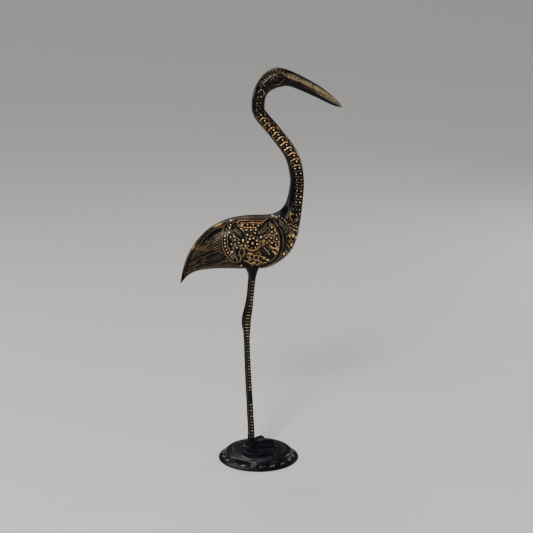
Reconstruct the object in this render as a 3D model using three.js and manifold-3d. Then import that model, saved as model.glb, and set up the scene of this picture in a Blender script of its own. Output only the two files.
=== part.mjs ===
// A standing crane cast in brass, chased and antiqued, on a stepped round foot.
// Millimetres, +Z up, beak towards +X, origin at the centre of the flat underside.

import * as THREE from "three";
import { mergeVertices } from "three/addons/utils/BufferGeometryUtils.js";
import Module from "manifold-3d";

const wasm = await Module();
wasm.setup();

// The bird's outline from tail tip to beak tip. Each row is one cross-section of the casting:
// back line x and z, belly or throat line x and z, and half the width across.
const OUTLINE = [
  [-88.0, 213.0, -87.5, 212.4, 0.8], // tail tip
  [-83.5, 231.0, -79.5, 221.0, 2.6],
  [-76.5, 248.0, -69.0, 226.0, 6.0],
  [-66.5, 262.0, -53.5, 227.8, 10.5],
  [-52.5, 274.5, -36.5, 227.5, 15.0],
  [-34.0, 283.0, -20.0, 226.5, 18.6],
  [-14.0, 286.2, -5.5, 226.3, 20.6], // middle of the body
  [4.0, 286.2, 8.0, 226.2, 21.0],
  [14.5, 286.6, 21.0, 231.0, 20.0],
  [22.5, 289.2, 34.2, 241.4, 17.6],
  [28.0, 294.6, 43.0, 257.3, 14.4], // breast
  [32.0, 301.8, 47.3, 276.0, 11.2],
  [34.8, 314.0, 50.2, 300.0, 8.6], // foot of the neck
  [35.6, 328.5, 51.5, 326.5, 7.6],
  [29.8, 351.0, 45.2, 355.2, 7.4],
  [13.6, 374.0, 26.4, 381.6, 7.2],
  [-4.3, 396.5, 9.4, 402.6, 7.0],
  [-6.9, 413.5, 7.8, 414.0, 7.0], // nape
  [-3.2, 429.0, 11.5, 422.5, 7.4],
  [6.2, 442.6, 19.5, 427.2, 8.4],
  [18.5, 449.5, 27.0, 428.9, 9.2], // crown and chin
  [30.5, 448.0, 32.5, 429.2, 8.6],
  [46.0, 441.3, 41.5, 426.6, 6.6],
  [70.5, 427.4, 64.0, 416.6, 4.4],
  [88.0, 412.8, 83.5, 407.2, 2.2],
  [94.2, 405.6, 93.4, 404.6, 0.5], // beak tip
];
const NECK_FOOT = 10;
const NAPE = 17;
const LAST_ROW = OUTLINE.length - 1;

// The raised, cross-hatched band along the back
const RIDGE_RISE = 0.9;
const RIDGE_HALF_WIDTH = [2.0, 2.4, 3.2, 4.2, 4.4, 5.2, 8.0, 8.4, 9.2, 8.6, 7.6];
const NECK_STRIP_ANGLE = 50;

// The tail's overlapping feathers
const FEATHER_ROWS = 5;
const FLANK_FACETS = 7;
const FEATHER_TOP_ANGLE = 42;
const FEATHER_LOW_ANGLE = 146;
const FEATHER_STEP = 0.8;
const TAIL_END = 4.3;

// The flower medallion on each flank, in side-view x and z
const FLOWER = { x: -9.7, z: 260.2 };
const FLOWER_RING = 8.6;
const RING_THICKNESS = 1.2;
const BOSS = { width: 4, height: 1.3 };
const PETAL_COUNT = 8;
const PETAL_CIRCLE = 5.5;
const PETAL = { length: 3.2, width: 2.6, height: 1.1 };
const LEAF_ANGLES = [139, 49, -33, 229];
const LEAF_START = 12.5;
const LEAF = { length: 15, width: 5.6, height: 1.4 };

// The beaded border behind the medallion and the collar in front of it
const BORDER = { x: -12, z: 263, inner: 26, outer: 30.8, from: 143, to: 218 };
const BORDER_CORD = 0.8;
const BORDER_BEAD_PITCH = 4.6;
const BORDER_BEAD = { width: 2.6, height: 0.9 };
const COLLAR_LINE = [
  [17.1, 282.2],
  [19.8, 277.6],
  [22.3, 273.0],
  [24.3, 268.1],
  [24.9, 262.0],
  [24.9, 255.1],
  [23.9, 247.9],
  [21.2, 241.3],
  [16.8, 235.7],
];
const COLLAR_CORD = 1.1;

// The ladder of rungs up each side of the neck
const RUNG_PITCH = 6.8;
const RUNG_RISE = 0.6;
const RUNG_ANGLES = [62, 90, 118];

// The eye and the brow that runs from behind it, by row and by angle round the head
const EYE = { row: 19.56, angle: 95, length: 6.4, width: 3.6, height: 1.2 };
const BROW_LINE = [
  [18.2, 118],
  [18.6, 84],
  [19.4, 74],
  [20.4, 80],
];
const BROW_CORD = 0.8;

// The legs: height, distance of the axis forward, half depth, half width
const LEG_SPACING = 12.5;
const LEG = [
  [234.0, -7.6, 8.0, 6.0],
  [228.0, -7.6, 7.4, 6.0],
  [223.5, -7.4, 5.4, 5.0],
  [217.0, -7.2, 3.4, 3.4],
  [203.0, -8.4, 3.0, 3.0],
  [192.0, -9.5, 3.0, 3.0],
  [180.0, -11.2, 3.6, 3.1],
  [169.0, -13.4, 4.2, 3.3], // backward knee
  [159.0, -14.0, 4.1, 3.2],
  [152.0, -13.6, 3.0, 2.8],
  [139.0, -13.2, 2.5, 2.5],
  [97.0, -11.7, 2.7, 2.7],
  [49.0, -9.4, 2.9, 2.9],
  [26.8, -8.3, 3.0, 3.0],
];
const LEG_SIDES = 6;
const LEG_RING_PITCH = 6.0;
const LEG_RING_RISE = 0.3;
const LEG_RING_SPANS = [[172, 212], [88, 146], [30, 68]];

// The round foot, as radius and height
const BASE_PROFILE = [
  [0, 0],
  [46.3, 0],
  [46.3, 1.0],
  [44.2, 2.2],
  [41.2, 3.8],
  [39.0, 5.4],
  [38.2, 7.8],
  [37.2, 9.0],
  [28.0, 10.8],
  [14.0, 12.3],
  [0, 12.8],
];
const BASE_SEGMENTS = 36;
const ANKLE_TOP = 26.5;
const ANKLE_RADIUS = 3.5;

// Toe tips from above, on the near side (-Y) and the far side (+Y) of the foot, and the toes' sizes
const TOES = {
  near: [[12, -26.5], [18.5, -2], [-2, -27.5], [-18.5, -17]],
  far: [[9, 29.5], [19, 15], [-16.5, 13]],
};
const TOE_HALF_WIDTH = 4.1;
const TOE_RISE = 4.4;
const TOE_START_HEIGHT = 12.4;
const TOE_END_HEIGHT = 10.6;
const TOE_FULLNESS = [[0, 1], [0.35, 0.88], [0.65, 1], [0.88, 0.86], [1, 0.4]];

// The web between the near foot's front toes
const WEB = { x: -6, y: -16.5, z: 11, halfLength: 11, halfWidth: 9.5, rise: 3.2 };

const radians = THREE.MathUtils.degToRad;

// Curves through the rows, with the half width held in y
const backLine = outlineCurve(0);
const bellyLine = outlineCurve(2);

function outlineCurve(column) {
  const points = OUTLINE.map((row) => new THREE.Vector3(row[column], row[4], row[column + 1]));
  return new THREE.CatmullRomCurve3(points, false, "catmullrom", 0.5);
}

// A straight-line reading of a list by row number
function valueAt(list, row) {
  const low = Math.min(Math.floor(row), list.length - 2);
  const share = Math.min(row - low, 1);
  return list[low] * (1 - share) + list[low + 1] * share;
}

// How far the edge of the back's band, or of the neck's plain strip, lies round the section, in degrees
function bandAngle(row, halfWidth) {
  if (row >= NECK_FOOT) return NECK_STRIP_ANGLE;
  const reach = Math.min(valueAt(RIDGE_HALF_WIDTH, row) / halfWidth, 0.8);
  return THREE.MathUtils.radToDeg(Math.asin(reach));
}

// A point of the skin: row along the outline, angle round the section from the back line, height above it
function skinPoint(row, angle, lift = 0) {
  const back = backLine.getPoint(row / LAST_ROW);
  const belly = bellyLine.getPoint(row / LAST_ROW);
  const centre = back.clone().add(belly).multiplyScalar(0.5);
  const up = back.clone().sub(belly).multiplyScalar(0.5);
  up.y = 0;
  const turn = radians(angle);
  const reach = up.length();
  up.multiplyScalar((Math.cos(turn) * (reach + lift)) / reach);
  const side = (back.y + lift) * Math.sin(turn);
  return new THREE.Vector3(centre.x + up.x, side, centre.z + up.z);
}

function halfWidthAt(row) {
  return backLine.getPoint(row / LAST_ROW).y;
}

// The angles round one side of a section, each with its height above the plain skin
function sideProfile(row, rung) {
  const edge = bandAngle(row, halfWidthAt(row));
  const rise = bandRise(row);
  const profile = [
    [edge - 3, rise],
    [edge + 3, -0.3],
  ];
  if (row >= NECK_FOOT) RUNG_ANGLES.forEach((angle) => profile.push([angle, rung]));
  else if (row < TAIL_END) profile.push(...featherProfile(row, edge));
  else profile.push(...plainProfile(edge));
  profile.push([163, 0]);
  return profile;
}

// The height of the back's band, which starts at the tail tip and dies down on the neck
function bandRise(row) {
  return row < NECK_FOOT ? RIDGE_RISE * Math.min(1, row / 1.5) : 0.25;
}

// Each feather row lies over the one below it, so the skin steps in under its edge
function featherProfile(row, edge) {
  const depth = FEATHER_STEP * Math.min(1, row / 2);
  const top = Math.max(FEATHER_TOP_ANGLE, edge + 8);
  const profile = [];
  for (let k = 0; k < FEATHER_ROWS; k++) {
    const start = top + ((FEATHER_LOW_ANGLE - top) * k) / FEATHER_ROWS;
    const end = top + ((FEATHER_LOW_ANGLE - top) * (k + 1)) / FEATHER_ROWS;
    profile.push([start, 0], [end - 3, depth]);
  }
  return profile;
}

function plainProfile(edge) {
  const profile = [];
  for (let k = 0; k < FLANK_FACETS; k++) {
    profile.push([edge + 12 + ((150 - edge - 12) * k) / (FLANK_FACETS - 1), 0]);
  }
  return profile;
}

function sectionRing(row, rung = 0) {
  const side = sideProfile(row, rung);
  const left = side.map(([angle, lift]) => skinPoint(row, angle, lift));
  const right = side.map(([angle, lift]) => skinPoint(row, -angle, lift)).reverse();
  return [skinPoint(row, 0, bandRise(row)), ...left, skinPoint(row, 180), ...right];
}

// A closed solid through a row of rings, which may differ in how many points they have
function loft(rings) {
  const positions = [];
  const firsts = [];
  for (const ring of rings) {
    firsts.push(positions.length / 3);
    ring.forEach((p) => positions.push(p.x, p.y, p.z));
  }
  const faces = [];
  for (let r = 0; r < rings.length - 1; r++) joinRings(faces, firsts[r], rings[r], firsts[r + 1], rings[r + 1]);
  closeEnd(positions, faces, firsts[0], rings[0], true);
  closeEnd(positions, faces, firsts[rings.length - 1], rings[rings.length - 1], false);
  const geometry = new THREE.BufferGeometry();
  geometry.setAttribute("position", new THREE.Float32BufferAttribute(positions, 3));
  geometry.setIndex(faces);
  return solidOf(geometry);
}

function joinRings(faces, firstA, ringA, firstB, ringB) {
  let a = 0;
  let b = 0;
  while (a < ringA.length || b < ringB.length) {
    const stepA = b >= ringB.length || (a < ringA.length && (a + 0.5) / ringA.length <= (b + 0.5) / ringB.length);
    const cornerA = firstA + (a % ringA.length);
    const cornerB = firstB + (b % ringB.length);
    if (stepA) faces.push(cornerA, firstA + ((a + 1) % ringA.length), cornerB);
    else faces.push(cornerA, firstB + ((b + 1) % ringB.length), cornerB);
    if (stepA) a++;
    else b++;
  }
}

function closeEnd(positions, faces, first, ring, isStart) {
  const centre = ring.reduce((sum, p) => sum.add(p), new THREE.Vector3()).divideScalar(ring.length);
  const middle = positions.length / 3;
  positions.push(centre.x, centre.y, centre.z);
  ring.forEach((_, k) => {
    const here = first + k;
    const next = first + ((k + 1) % ring.length);
    if (isStart) faces.push(middle, next, here);
    else faces.push(middle, here, next);
  });
}

// A closed geometry as a solid, turned so that its faces point outwards
function solidOf(geometry) {
  const bare = geometry.index ? geometry.toNonIndexed() : geometry.clone();
  bare.deleteAttribute("normal");
  bare.deleteAttribute("uv");
  const merged = mergeVertices(bare, 1e-4);
  const vertProperties = merged.attributes.position.array;
  const triVerts = new Uint32Array(merged.index.array);
  const made = new wasm.Manifold(new wasm.Mesh({ numProp: 3, vertProperties, triVerts }));
  if (made.volume() >= 0) return made;
  for (let k = 0; k < triVerts.length; k += 3) {
    [triVerts[k + 1], triVerts[k + 2]] = [triVerts[k + 2], triVerts[k + 1]];
  }
  return new wasm.Manifold(new wasm.Mesh({ numProp: 3, vertProperties, triVerts }));
}

function geometryOf(solid) {
  const mesh = solid.getMesh();
  const geometry = new THREE.BufferGeometry();
  geometry.setAttribute("position", new THREE.Float32BufferAttribute(mesh.vertProperties, 3));
  geometry.setIndex(new THREE.Uint32BufferAttribute(mesh.triVerts, 1));
  geometry.computeVertexNormals();
  return geometry;
}

// The place on one flank that is seen at side-view x and z, as row and angle
function flankPlace(x, z) {
  let low = 0.5;
  let high = NECK_FOOT + 1;
  for (let k = 0; k < 30; k++) {
    const middle = (low + high) / 2;
    const back = backLine.getPoint(middle / LAST_ROW);
    const belly = bellyLine.getPoint(middle / LAST_ROW);
    const turn = (belly.x - back.x) * (z - back.z) - (belly.z - back.z) * (x - back.x);
    if (turn > 0) low = middle;
    else high = middle;
  }
  const back = backLine.getPoint(low / LAST_ROW);
  const belly = bellyLine.getPoint(low / LAST_ROW);
  const spanX = (back.x - belly.x) / 2;
  const spanZ = (back.z - belly.z) / 2;
  const along = (x - belly.x - spanX) * spanX + (z - belly.z - spanZ) * spanZ;
  const height = THREE.MathUtils.clamp(along / (spanX * spanX + spanZ * spanZ), -1, 1);
  return { row: low, angle: THREE.MathUtils.radToDeg(Math.acos(height)) };
}

function flankPoint(x, z, side, lift = 0) {
  const place = flankPlace(x, z);
  return skinPoint(place.row, side * place.angle, lift);
}

// A raised cord through the given points, with a diamond section
function cord(points, radius, steps) {
  const section = new THREE.Shape();
  section.moveTo(radius, 0);
  section.lineTo(0, radius);
  section.lineTo(-radius, 0);
  section.lineTo(0, -radius);
  const extrudePath = new THREE.CatmullRomCurve3(points);
  return solidOf(new THREE.ExtrudeGeometry(section, { steps, extrudePath, bevelEnabled: false }));
}

// Points on a flank along an arc of the side view, kept to where the flank faces sideways
function flankArc(circle, radius, side, from, to, count, topAngle, lowAngle) {
  const points = [];
  for (let k = 0; k <= count; k++) {
    const turn = radians(from + ((to - from) * k) / count);
    const x = circle.x + radius * Math.cos(turn);
    const z = circle.z + radius * Math.sin(turn);
    const place = flankPlace(x, z);
    if (place.angle > topAngle && place.angle < lowAngle) points.push(skinPoint(place.row, side * place.angle));
  }
  return points;
}

// A bead or leaf: a round solid stretched along a direction of the side view and flattened on the flank
function boss(x, z, side, length, width, height, degrees, facets) {
  const geometry = facets ? new THREE.SphereGeometry(1, facets, 3) : new THREE.OctahedronGeometry(1, 0);
  const point = flankPoint(x, z, side);
  const ahead = flankPoint(x + 1, z, side).sub(point);
  const above = flankPoint(x, z + 1, side).sub(point);
  const out = ahead.clone().cross(above).normalize();
  const turn = radians(degrees);
  const lengthwise = ahead.clone().multiplyScalar(Math.cos(turn)).addScaledVector(above, Math.sin(turn)).normalize();
  const across = out.clone().cross(lengthwise).normalize();
  const matrix = new THREE.Matrix4().makeBasis(lengthwise, across, out);
  geometry.scale(length / 2, width / 2, height);
  geometry.applyMatrix4(matrix);
  geometry.translate(point.x, point.y, point.z);
  return solidOf(geometry);
}

// The flower, its ring and the four leaves round it
function medallion(side) {
  const made = [boss(FLOWER.x, FLOWER.z, side, BOSS.width, BOSS.width, BOSS.height, 0, 6)];
  for (let k = 0; k < PETAL_COUNT; k++) {
    const degrees = (360 * k) / PETAL_COUNT + 90;
    const x = FLOWER.x + PETAL_CIRCLE * Math.cos(radians(degrees));
    const z = FLOWER.z + PETAL_CIRCLE * Math.sin(radians(degrees));
    made.push(boss(x, z, side, PETAL.length, PETAL.width, PETAL.height, degrees));
  }
  for (const from of [0, 180]) {
    made.push(cord(flankArc(FLOWER, FLOWER_RING, side, from - 2, from + 182, 8, 0, 180), RING_THICKNESS, 8));
  }
  for (const degrees of LEAF_ANGLES) {
    const reach = LEAF_START + LEAF.length / 2;
    const x = FLOWER.x + reach * Math.cos(radians(degrees));
    const z = FLOWER.z + reach * Math.sin(radians(degrees));
    made.push(boss(x, z, side, LEAF.length, LEAF.width, LEAF.height, degrees, 6));
  }
  return made;
}

// The two cords and the beads of the border, and the collar's cord
function borderAndCollar(side) {
  const made = [
    cord(flankArc(BORDER, BORDER.inner, side, 134, 236, 14, 27, 138), BORDER_CORD, 8),
    cord(flankArc(BORDER, BORDER.outer, side, 140, 232, 14, 27, 138), BORDER_CORD, 8),
    cord(COLLAR_LINE.map(([x, z]) => flankPoint(x, z, side)), COLLAR_CORD, 10),
  ];
  const middle = (BORDER.inner + BORDER.outer) / 2;
  const beadTurn = BORDER_BEAD_PITCH / middle;
  for (let turn = radians(BORDER.from); turn < radians(BORDER.to); turn += beadTurn) {
    const x = BORDER.x + middle * Math.cos(turn);
    const z = BORDER.z + middle * Math.sin(turn);
    made.push(boss(x, z, side, BORDER_BEAD.width, BORDER_BEAD.width, BORDER_BEAD.height, 0));
  }
  return made;
}

// The rows at which the skin is drawn, with a rise at each rung of the neck and none between
function skinRows() {
  const rows = [];
  const ladderStart = NECK_FOOT + 1;
  const ladderEnd = NAPE + 1.4;
  for (let row = 0; row < ladderStart; row += 1 / 3) rows.push([row, 0]);
  let travelled = 0;
  let rung = 0;
  let last = skinPoint(ladderStart, 90);
  for (let row = ladderStart; row < ladderEnd; row += 0.01) {
    const here = skinPoint(row, 90);
    travelled += here.distanceTo(last);
    last = here;
    if (travelled < RUNG_PITCH / 2) continue;
    rung = RUNG_RISE - rung;
    rows.push([row, rung]);
    travelled = 0;
  }
  for (let row = ladderEnd + 0.3; row < LAST_ROW; row += 0.5) rows.push([row, 0]);
  rows.push([LAST_ROW, 0]);
  return rows;
}

// The eye with its brow, and the fold behind the cheek
function face(side) {
  const brow = BROW_LINE.map(([row, angle]) => skinPoint(row, side * angle));
  return [cord(brow, BROW_CORD, 8), eye(side)];
}

function eye(side) {
  const point = skinPoint(EYE.row, side * EYE.angle);
  const ahead = skinPoint(EYE.row + 0.1, side * EYE.angle).sub(point).normalize();
  const round = skinPoint(EYE.row, side * (EYE.angle - 2)).sub(point);
  const out = ahead.clone().cross(round).normalize();
  const across = out.clone().cross(ahead).normalize();
  const geometry = new THREE.SphereGeometry(1, 6, 3);
  geometry.scale(EYE.length / 2, EYE.width / 2, EYE.height);
  geometry.applyMatrix4(new THREE.Matrix4().makeBasis(ahead, across, out));
  geometry.translate(point.x, point.y, point.z);
  return solidOf(geometry);
}

// One leg, its rings standing a little proud of the shaft
function legAt(height) {
  const below = LEG.findIndex((row, k) => k > 0 && row[0] <= height);
  const high = LEG[below - 1];
  const low = LEG[below];
  const share = (high[0] - height) / (high[0] - low[0]);
  return high.map((value, k) => value + (low[k] - value) * share);
}

function legRing(height, y, rise) {
  const [, x, depth, width] = legAt(height);
  const ring = [];
  for (let k = 0; k < LEG_SIDES; k++) {
    const turn = (2 * Math.PI * k) / LEG_SIDES;
    const point = new THREE.Vector3(x + (depth + rise) * Math.cos(turn), 0, height);
    point.y = y + (width + rise) * Math.sin(turn);
    ring.push(point);
  }
  return ring;
}

function leg(y) {
  const heights = LEG.map((row) => [row[0], 0]);
  for (const [low, high] of LEG_RING_SPANS) {
    for (let height = low; height < high; height += LEG_RING_PITCH) {
      heights.push([height, LEG_RING_RISE], [height + LEG_RING_PITCH / 2, 0]);
    }
  }
  heights.sort((a, b) => b[0] - a[0]);
  const apart = heights.filter(([height], k) => k === 0 || heights[k - 1][0] - height > 0.4);
  return loft(apart.map(([height, rise]) => legRing(height, y, rise)));
}

// The crane: skin, then everything raised on it
function craneSolid() {
  let bird = loft(skinRows().map(([row, rung]) => sectionRing(row, rung)));
  for (const side of [-1, 1]) {
    bird = bird.add(leg((side * LEG_SPACING) / 2));
    const raised = [...medallion(side), ...borderAndCollar(side), ...face(side)];
    for (const piece of raised) bird = bird.add(piece);
  }
  return bird;
}

// The round foot with its ankles and toes
function toe(from, tip) {
  const start = new THREE.Vector3(from.x, from.y, TOE_START_HEIGHT);
  const end = new THREE.Vector3(tip[0], tip[1], TOE_END_HEIGHT);
  const across = new THREE.Vector3(start.y - end.y, end.x - start.x, 0).normalize();
  return loft(TOE_FULLNESS.map(([share, fullness]) => {
    const middle = start.clone().lerp(end, share);
    return [0, 1, 2, 3, 4, 5].map((k) => {
      const turn = (Math.PI * k) / 3;
      const point = middle.clone().addScaledVector(across, TOE_HALF_WIDTH * fullness * Math.cos(turn));
      point.z += TOE_RISE * fullness * Math.sin(turn);
      return point;
    });
  }));
}

function web() {
  const geometry = new THREE.SphereGeometry(1, 10, 6);
  geometry.rotateX(Math.PI / 2);
  geometry.scale(WEB.halfLength, WEB.halfWidth, WEB.rise);
  geometry.translate(WEB.x, WEB.y, WEB.z);
  return solidOf(geometry);
}

function ankle(y) {
  const shape = [[9, 5.2], [12.5, 4.8], [15.5, 3.9], [20, ANKLE_RADIUS], [ANKLE_TOP, ANKLE_RADIUS - 0.2]];
  const footX = legAt(LEG[LEG.length - 1][0])[1];
  return loft(shape.map(([height, radius]) => {
    return [0, 1, 2, 3, 4, 5, 6, 7].map((k) => {
      const turn = (Math.PI * k) / 4;
      return new THREE.Vector3(footX + radius * Math.cos(turn), y + radius * Math.sin(turn), height);
    });
  }));
}

function baseSolid() {
  const profile = BASE_PROFILE.map(([radius, height]) => new THREE.Vector2(radius, height));
  const turned = new THREE.LatheGeometry(profile, BASE_SEGMENTS).rotateX(Math.PI / 2);
  let base = solidOf(turned);
  for (const [name, side] of [["near", -1], ["far", 1]]) {
    const y = (side * LEG_SPACING) / 2;
    base = base.add(ankle(y));
    for (const tip of TOES[name]) base = base.add(toe(new THREE.Vector2(legAt(ANKLE_TOP + 1)[1], y), tip));
  }
  return base.add(web());
}

const chasedBrass = new THREE.MeshStandardMaterial({ color: 0x6b5230, roughness: 0.42, metalness: 0.9 });
const darkBrass = new THREE.MeshStandardMaterial({ color: 0x14121a, roughness: 0.3, metalness: 0.7 });

function named(name, solid, material) {
  const mesh = new THREE.Mesh(geometryOf(solid), material);
  mesh.name = name;
  return mesh;
}

const statue = new THREE.Group();
statue.add(named("crane", craneSolid(), chasedBrass));
statue.add(named("round_base", baseSolid(), darkBrass));

export default statue;
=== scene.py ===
"""A standing crane, cast in brass, chased all over and antiqued, on a stepped round foot.

Lengths are millimetres until a mesh is written. +Z is up, the beak points to +X, and the origin is the
centre of the foot's flat underside. The bird's skin is one lofted sheet whose rows run from the tail tip
to the beak tip. Its chasing is worked on one flank and mirrored to the other.
"""
from __future__ import annotations

import logging
import math
from abc import ABC, abstractmethod
from dataclasses import dataclass, field, replace
from enum import Enum

import bpy
import numpy as np
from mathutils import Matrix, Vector


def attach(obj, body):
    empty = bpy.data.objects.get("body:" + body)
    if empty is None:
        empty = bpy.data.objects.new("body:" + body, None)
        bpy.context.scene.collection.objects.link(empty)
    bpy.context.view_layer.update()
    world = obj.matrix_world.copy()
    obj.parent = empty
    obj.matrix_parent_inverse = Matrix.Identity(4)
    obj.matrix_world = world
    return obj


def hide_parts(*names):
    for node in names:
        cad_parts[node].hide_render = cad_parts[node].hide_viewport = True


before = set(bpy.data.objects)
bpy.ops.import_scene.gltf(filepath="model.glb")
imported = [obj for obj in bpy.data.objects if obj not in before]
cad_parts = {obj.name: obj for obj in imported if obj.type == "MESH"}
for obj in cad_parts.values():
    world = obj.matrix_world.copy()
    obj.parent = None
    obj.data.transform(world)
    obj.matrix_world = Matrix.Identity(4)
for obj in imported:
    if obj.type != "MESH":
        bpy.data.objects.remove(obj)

Array = np.ndarray
Pair = tuple[float, float]
Triple = tuple[float, float, float]
Places = tuple[Pair, ...]
Band = tuple[float, float, float, float]
Colour = tuple[float, float, float, float]
Finish = bpy.types.Material
Piece = bpy.types.Object
Socket = bpy.types.NodeSocket

LOG = logging.getLogger("crane")
MM = 0.001
ALL = slice(None)
OTHER_SIDE = np.array([1.0, -1.0, 1.0])

# The gilding and the warmth of plain metal
PLAIN_GILT = 0.12
PLAIN_WARMTH = 0.3

# Cross-sections of the casting: back line x and z, belly or throat line x and z, half the width
BIRD_ROWS = (
    (-88.0, 213.0, -87.5, 212.4, 0.8),
    (-83.5, 231.0, -79.5, 221.0, 2.6),
    (-76.5, 248.0, -69.0, 226.0, 6.0),
    (-66.5, 262.0, -53.5, 227.8, 10.5),
    (-52.5, 274.5, -36.5, 227.5, 15.0),
    (-34.0, 283.0, -20.0, 226.5, 18.6),
    (-14.0, 286.2, -5.5, 226.3, 20.6),
    (4.0, 286.2, 8.0, 226.2, 21.0),
    (14.5, 286.6, 21.0, 231.0, 20.0),
    (22.5, 289.2, 34.2, 241.4, 17.6),
    (28.0, 294.6, 43.0, 257.3, 14.4),
    (32.0, 301.8, 47.3, 276.0, 11.2),
    (34.8, 314.0, 50.2, 300.0, 8.6),
    (35.6, 328.5, 51.5, 326.5, 7.6),
    (29.8, 351.0, 45.2, 355.2, 7.4),
    (13.6, 374.0, 26.4, 381.6, 7.2),
    (-4.3, 396.5, 9.4, 402.6, 7.0),
    (-6.9, 413.5, 7.8, 414.0, 7.0),
    (-3.2, 429.0, 11.5, 422.5, 7.4),
    (6.2, 442.6, 19.5, 427.2, 8.4),
    (18.5, 449.5, 27.0, 428.9, 9.2),
    (30.5, 448.0, 32.5, 429.2, 8.6),
    (46.0, 441.3, 41.5, 426.6, 6.6),
    (70.5, 427.4, 64.0, 416.6, 4.4),
    (88.0, 412.8, 83.5, 407.2, 2.2),
    (94.2, 405.6, 93.4, 404.6, 0.5),
)
LAST_ROW = len(BIRD_ROWS) - 1.0

# The row where the body's skin meets the neck's
SEAM_ROW = 11.0

# Half the width of the back's raised band at rows 0 to 10
BAND_HALF_WIDTHS = (2.0, 2.4, 3.2, 4.2, 4.4, 5.2, 8.0, 8.4, 9.2, 8.6, 7.6)

# One leg: height, distance of the axis forward, half depth, half width
LEG_ROWS = (
    (234.0, -7.6, 8.0, 6.0),
    (228.0, -7.6, 7.4, 6.0),
    (223.5, -7.4, 5.4, 5.0),
    (217.0, -7.2, 3.4, 3.4),
    (203.0, -8.4, 3.0, 3.0),
    (192.0, -9.5, 3.0, 3.0),
    (180.0, -11.2, 3.6, 3.1),
    (169.0, -13.4, 4.2, 3.3),
    (159.0, -14.0, 4.1, 3.2),
    (152.0, -13.6, 3.0, 2.8),
    (139.0, -13.2, 2.5, 2.5),
    (97.0, -11.7, 2.7, 2.7),
    (49.0, -9.4, 2.9, 2.9),
    (26.8, -8.3, 3.0, 3.0),
)

# How far forward the ankles stand, and how far apart the legs are
FOOT_X = LEG_ROWS[-1][1]
LEG_SPACING = 12.5

# The round foot, as radius and height
FOOT_PROFILE = (
    (0.0, 0.0), (46.3, 0.0), (46.3, 1.0), (44.2, 2.2), (41.2, 3.8), (39.0, 5.4), (38.2, 7.8), (37.2, 9.0),
    (28.0, 10.8), (14.0, 12.3), (0.0, 12.8),
)

# Centres, in the side view, of the circles that the beaded border and the collar follow
BORDER_CENTRE = (-12.0, 263.0)
COLLAR_CENTRE = (-5.0, 260.0)


def ramp(value: Array, low: Array | float, high: Array | float) -> Array:
    """A smooth step, 0 at low and 1 at high, where low may be the larger number."""
    share = np.clip((value - low) / (high - low), 0.0, 1.0)
    return share * share * (3.0 - 2.0 * share)


def plateau(value: Array, start: float, full: float, fade: float, end: float) -> Array:
    """A smooth step up from start to full, and down again from fade to end."""
    return ramp(value, start, full) * ramp(value, end, fade)


def bell(value: Array, width: float) -> Array:
    """A smooth bump, 1 where the value is 0 and all but gone at twice the width."""
    return np.exp(-((value / width) ** 2))


def spline(rows: Array, place: Array) -> Array:
    """Reads a smooth curve through rows of numbers.

    Args:
        rows: the rows that the curve passes through.
        place: where to read it, as row numbers with fractions.

    Returns:
        One row of numbers for each place.
    """
    count = len(rows)
    place = np.clip(np.asarray(place, float), 0.0, count - 1.0 - 1e-9)
    low = np.floor(place).astype(int)
    share = (place - low)[..., None]
    padded = np.vstack([2 * rows[:1] - rows[1:2], rows, 2 * rows[-1:] - rows[-2:-1]])
    before, here, after, beyond = (padded[low + step] for step in range(4))
    return 0.5 * (
        2 * here
        + (after - before) * share
        + (2 * before - 5 * here + 4 * after - beyond) * share**2
        + (3 * here - before - 3 * after + beyond) * share**3
    )


def unit(vectors: Array) -> Array:
    """The vectors, each made one long."""
    return vectors / np.maximum(np.linalg.norm(vectors, axis=-1, keepdims=True), 1e-9)


def curve_through(points: Places, steps: int) -> Array:
    """A smooth line through pairs of numbers, with the given steps in all."""
    return spline(np.array(points, float), np.linspace(0, len(points) - 1.0, steps))


def arc(centre: Pair, radius: float, start: float, end: float, steps: int) -> Array:
    """Points along an arc, between two angles in degrees."""
    turn = np.radians(np.linspace(start, end, steps))
    return np.stack([centre[0] + radius * np.cos(turn), centre[1] + radius * np.sin(turn)], -1)


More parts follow.
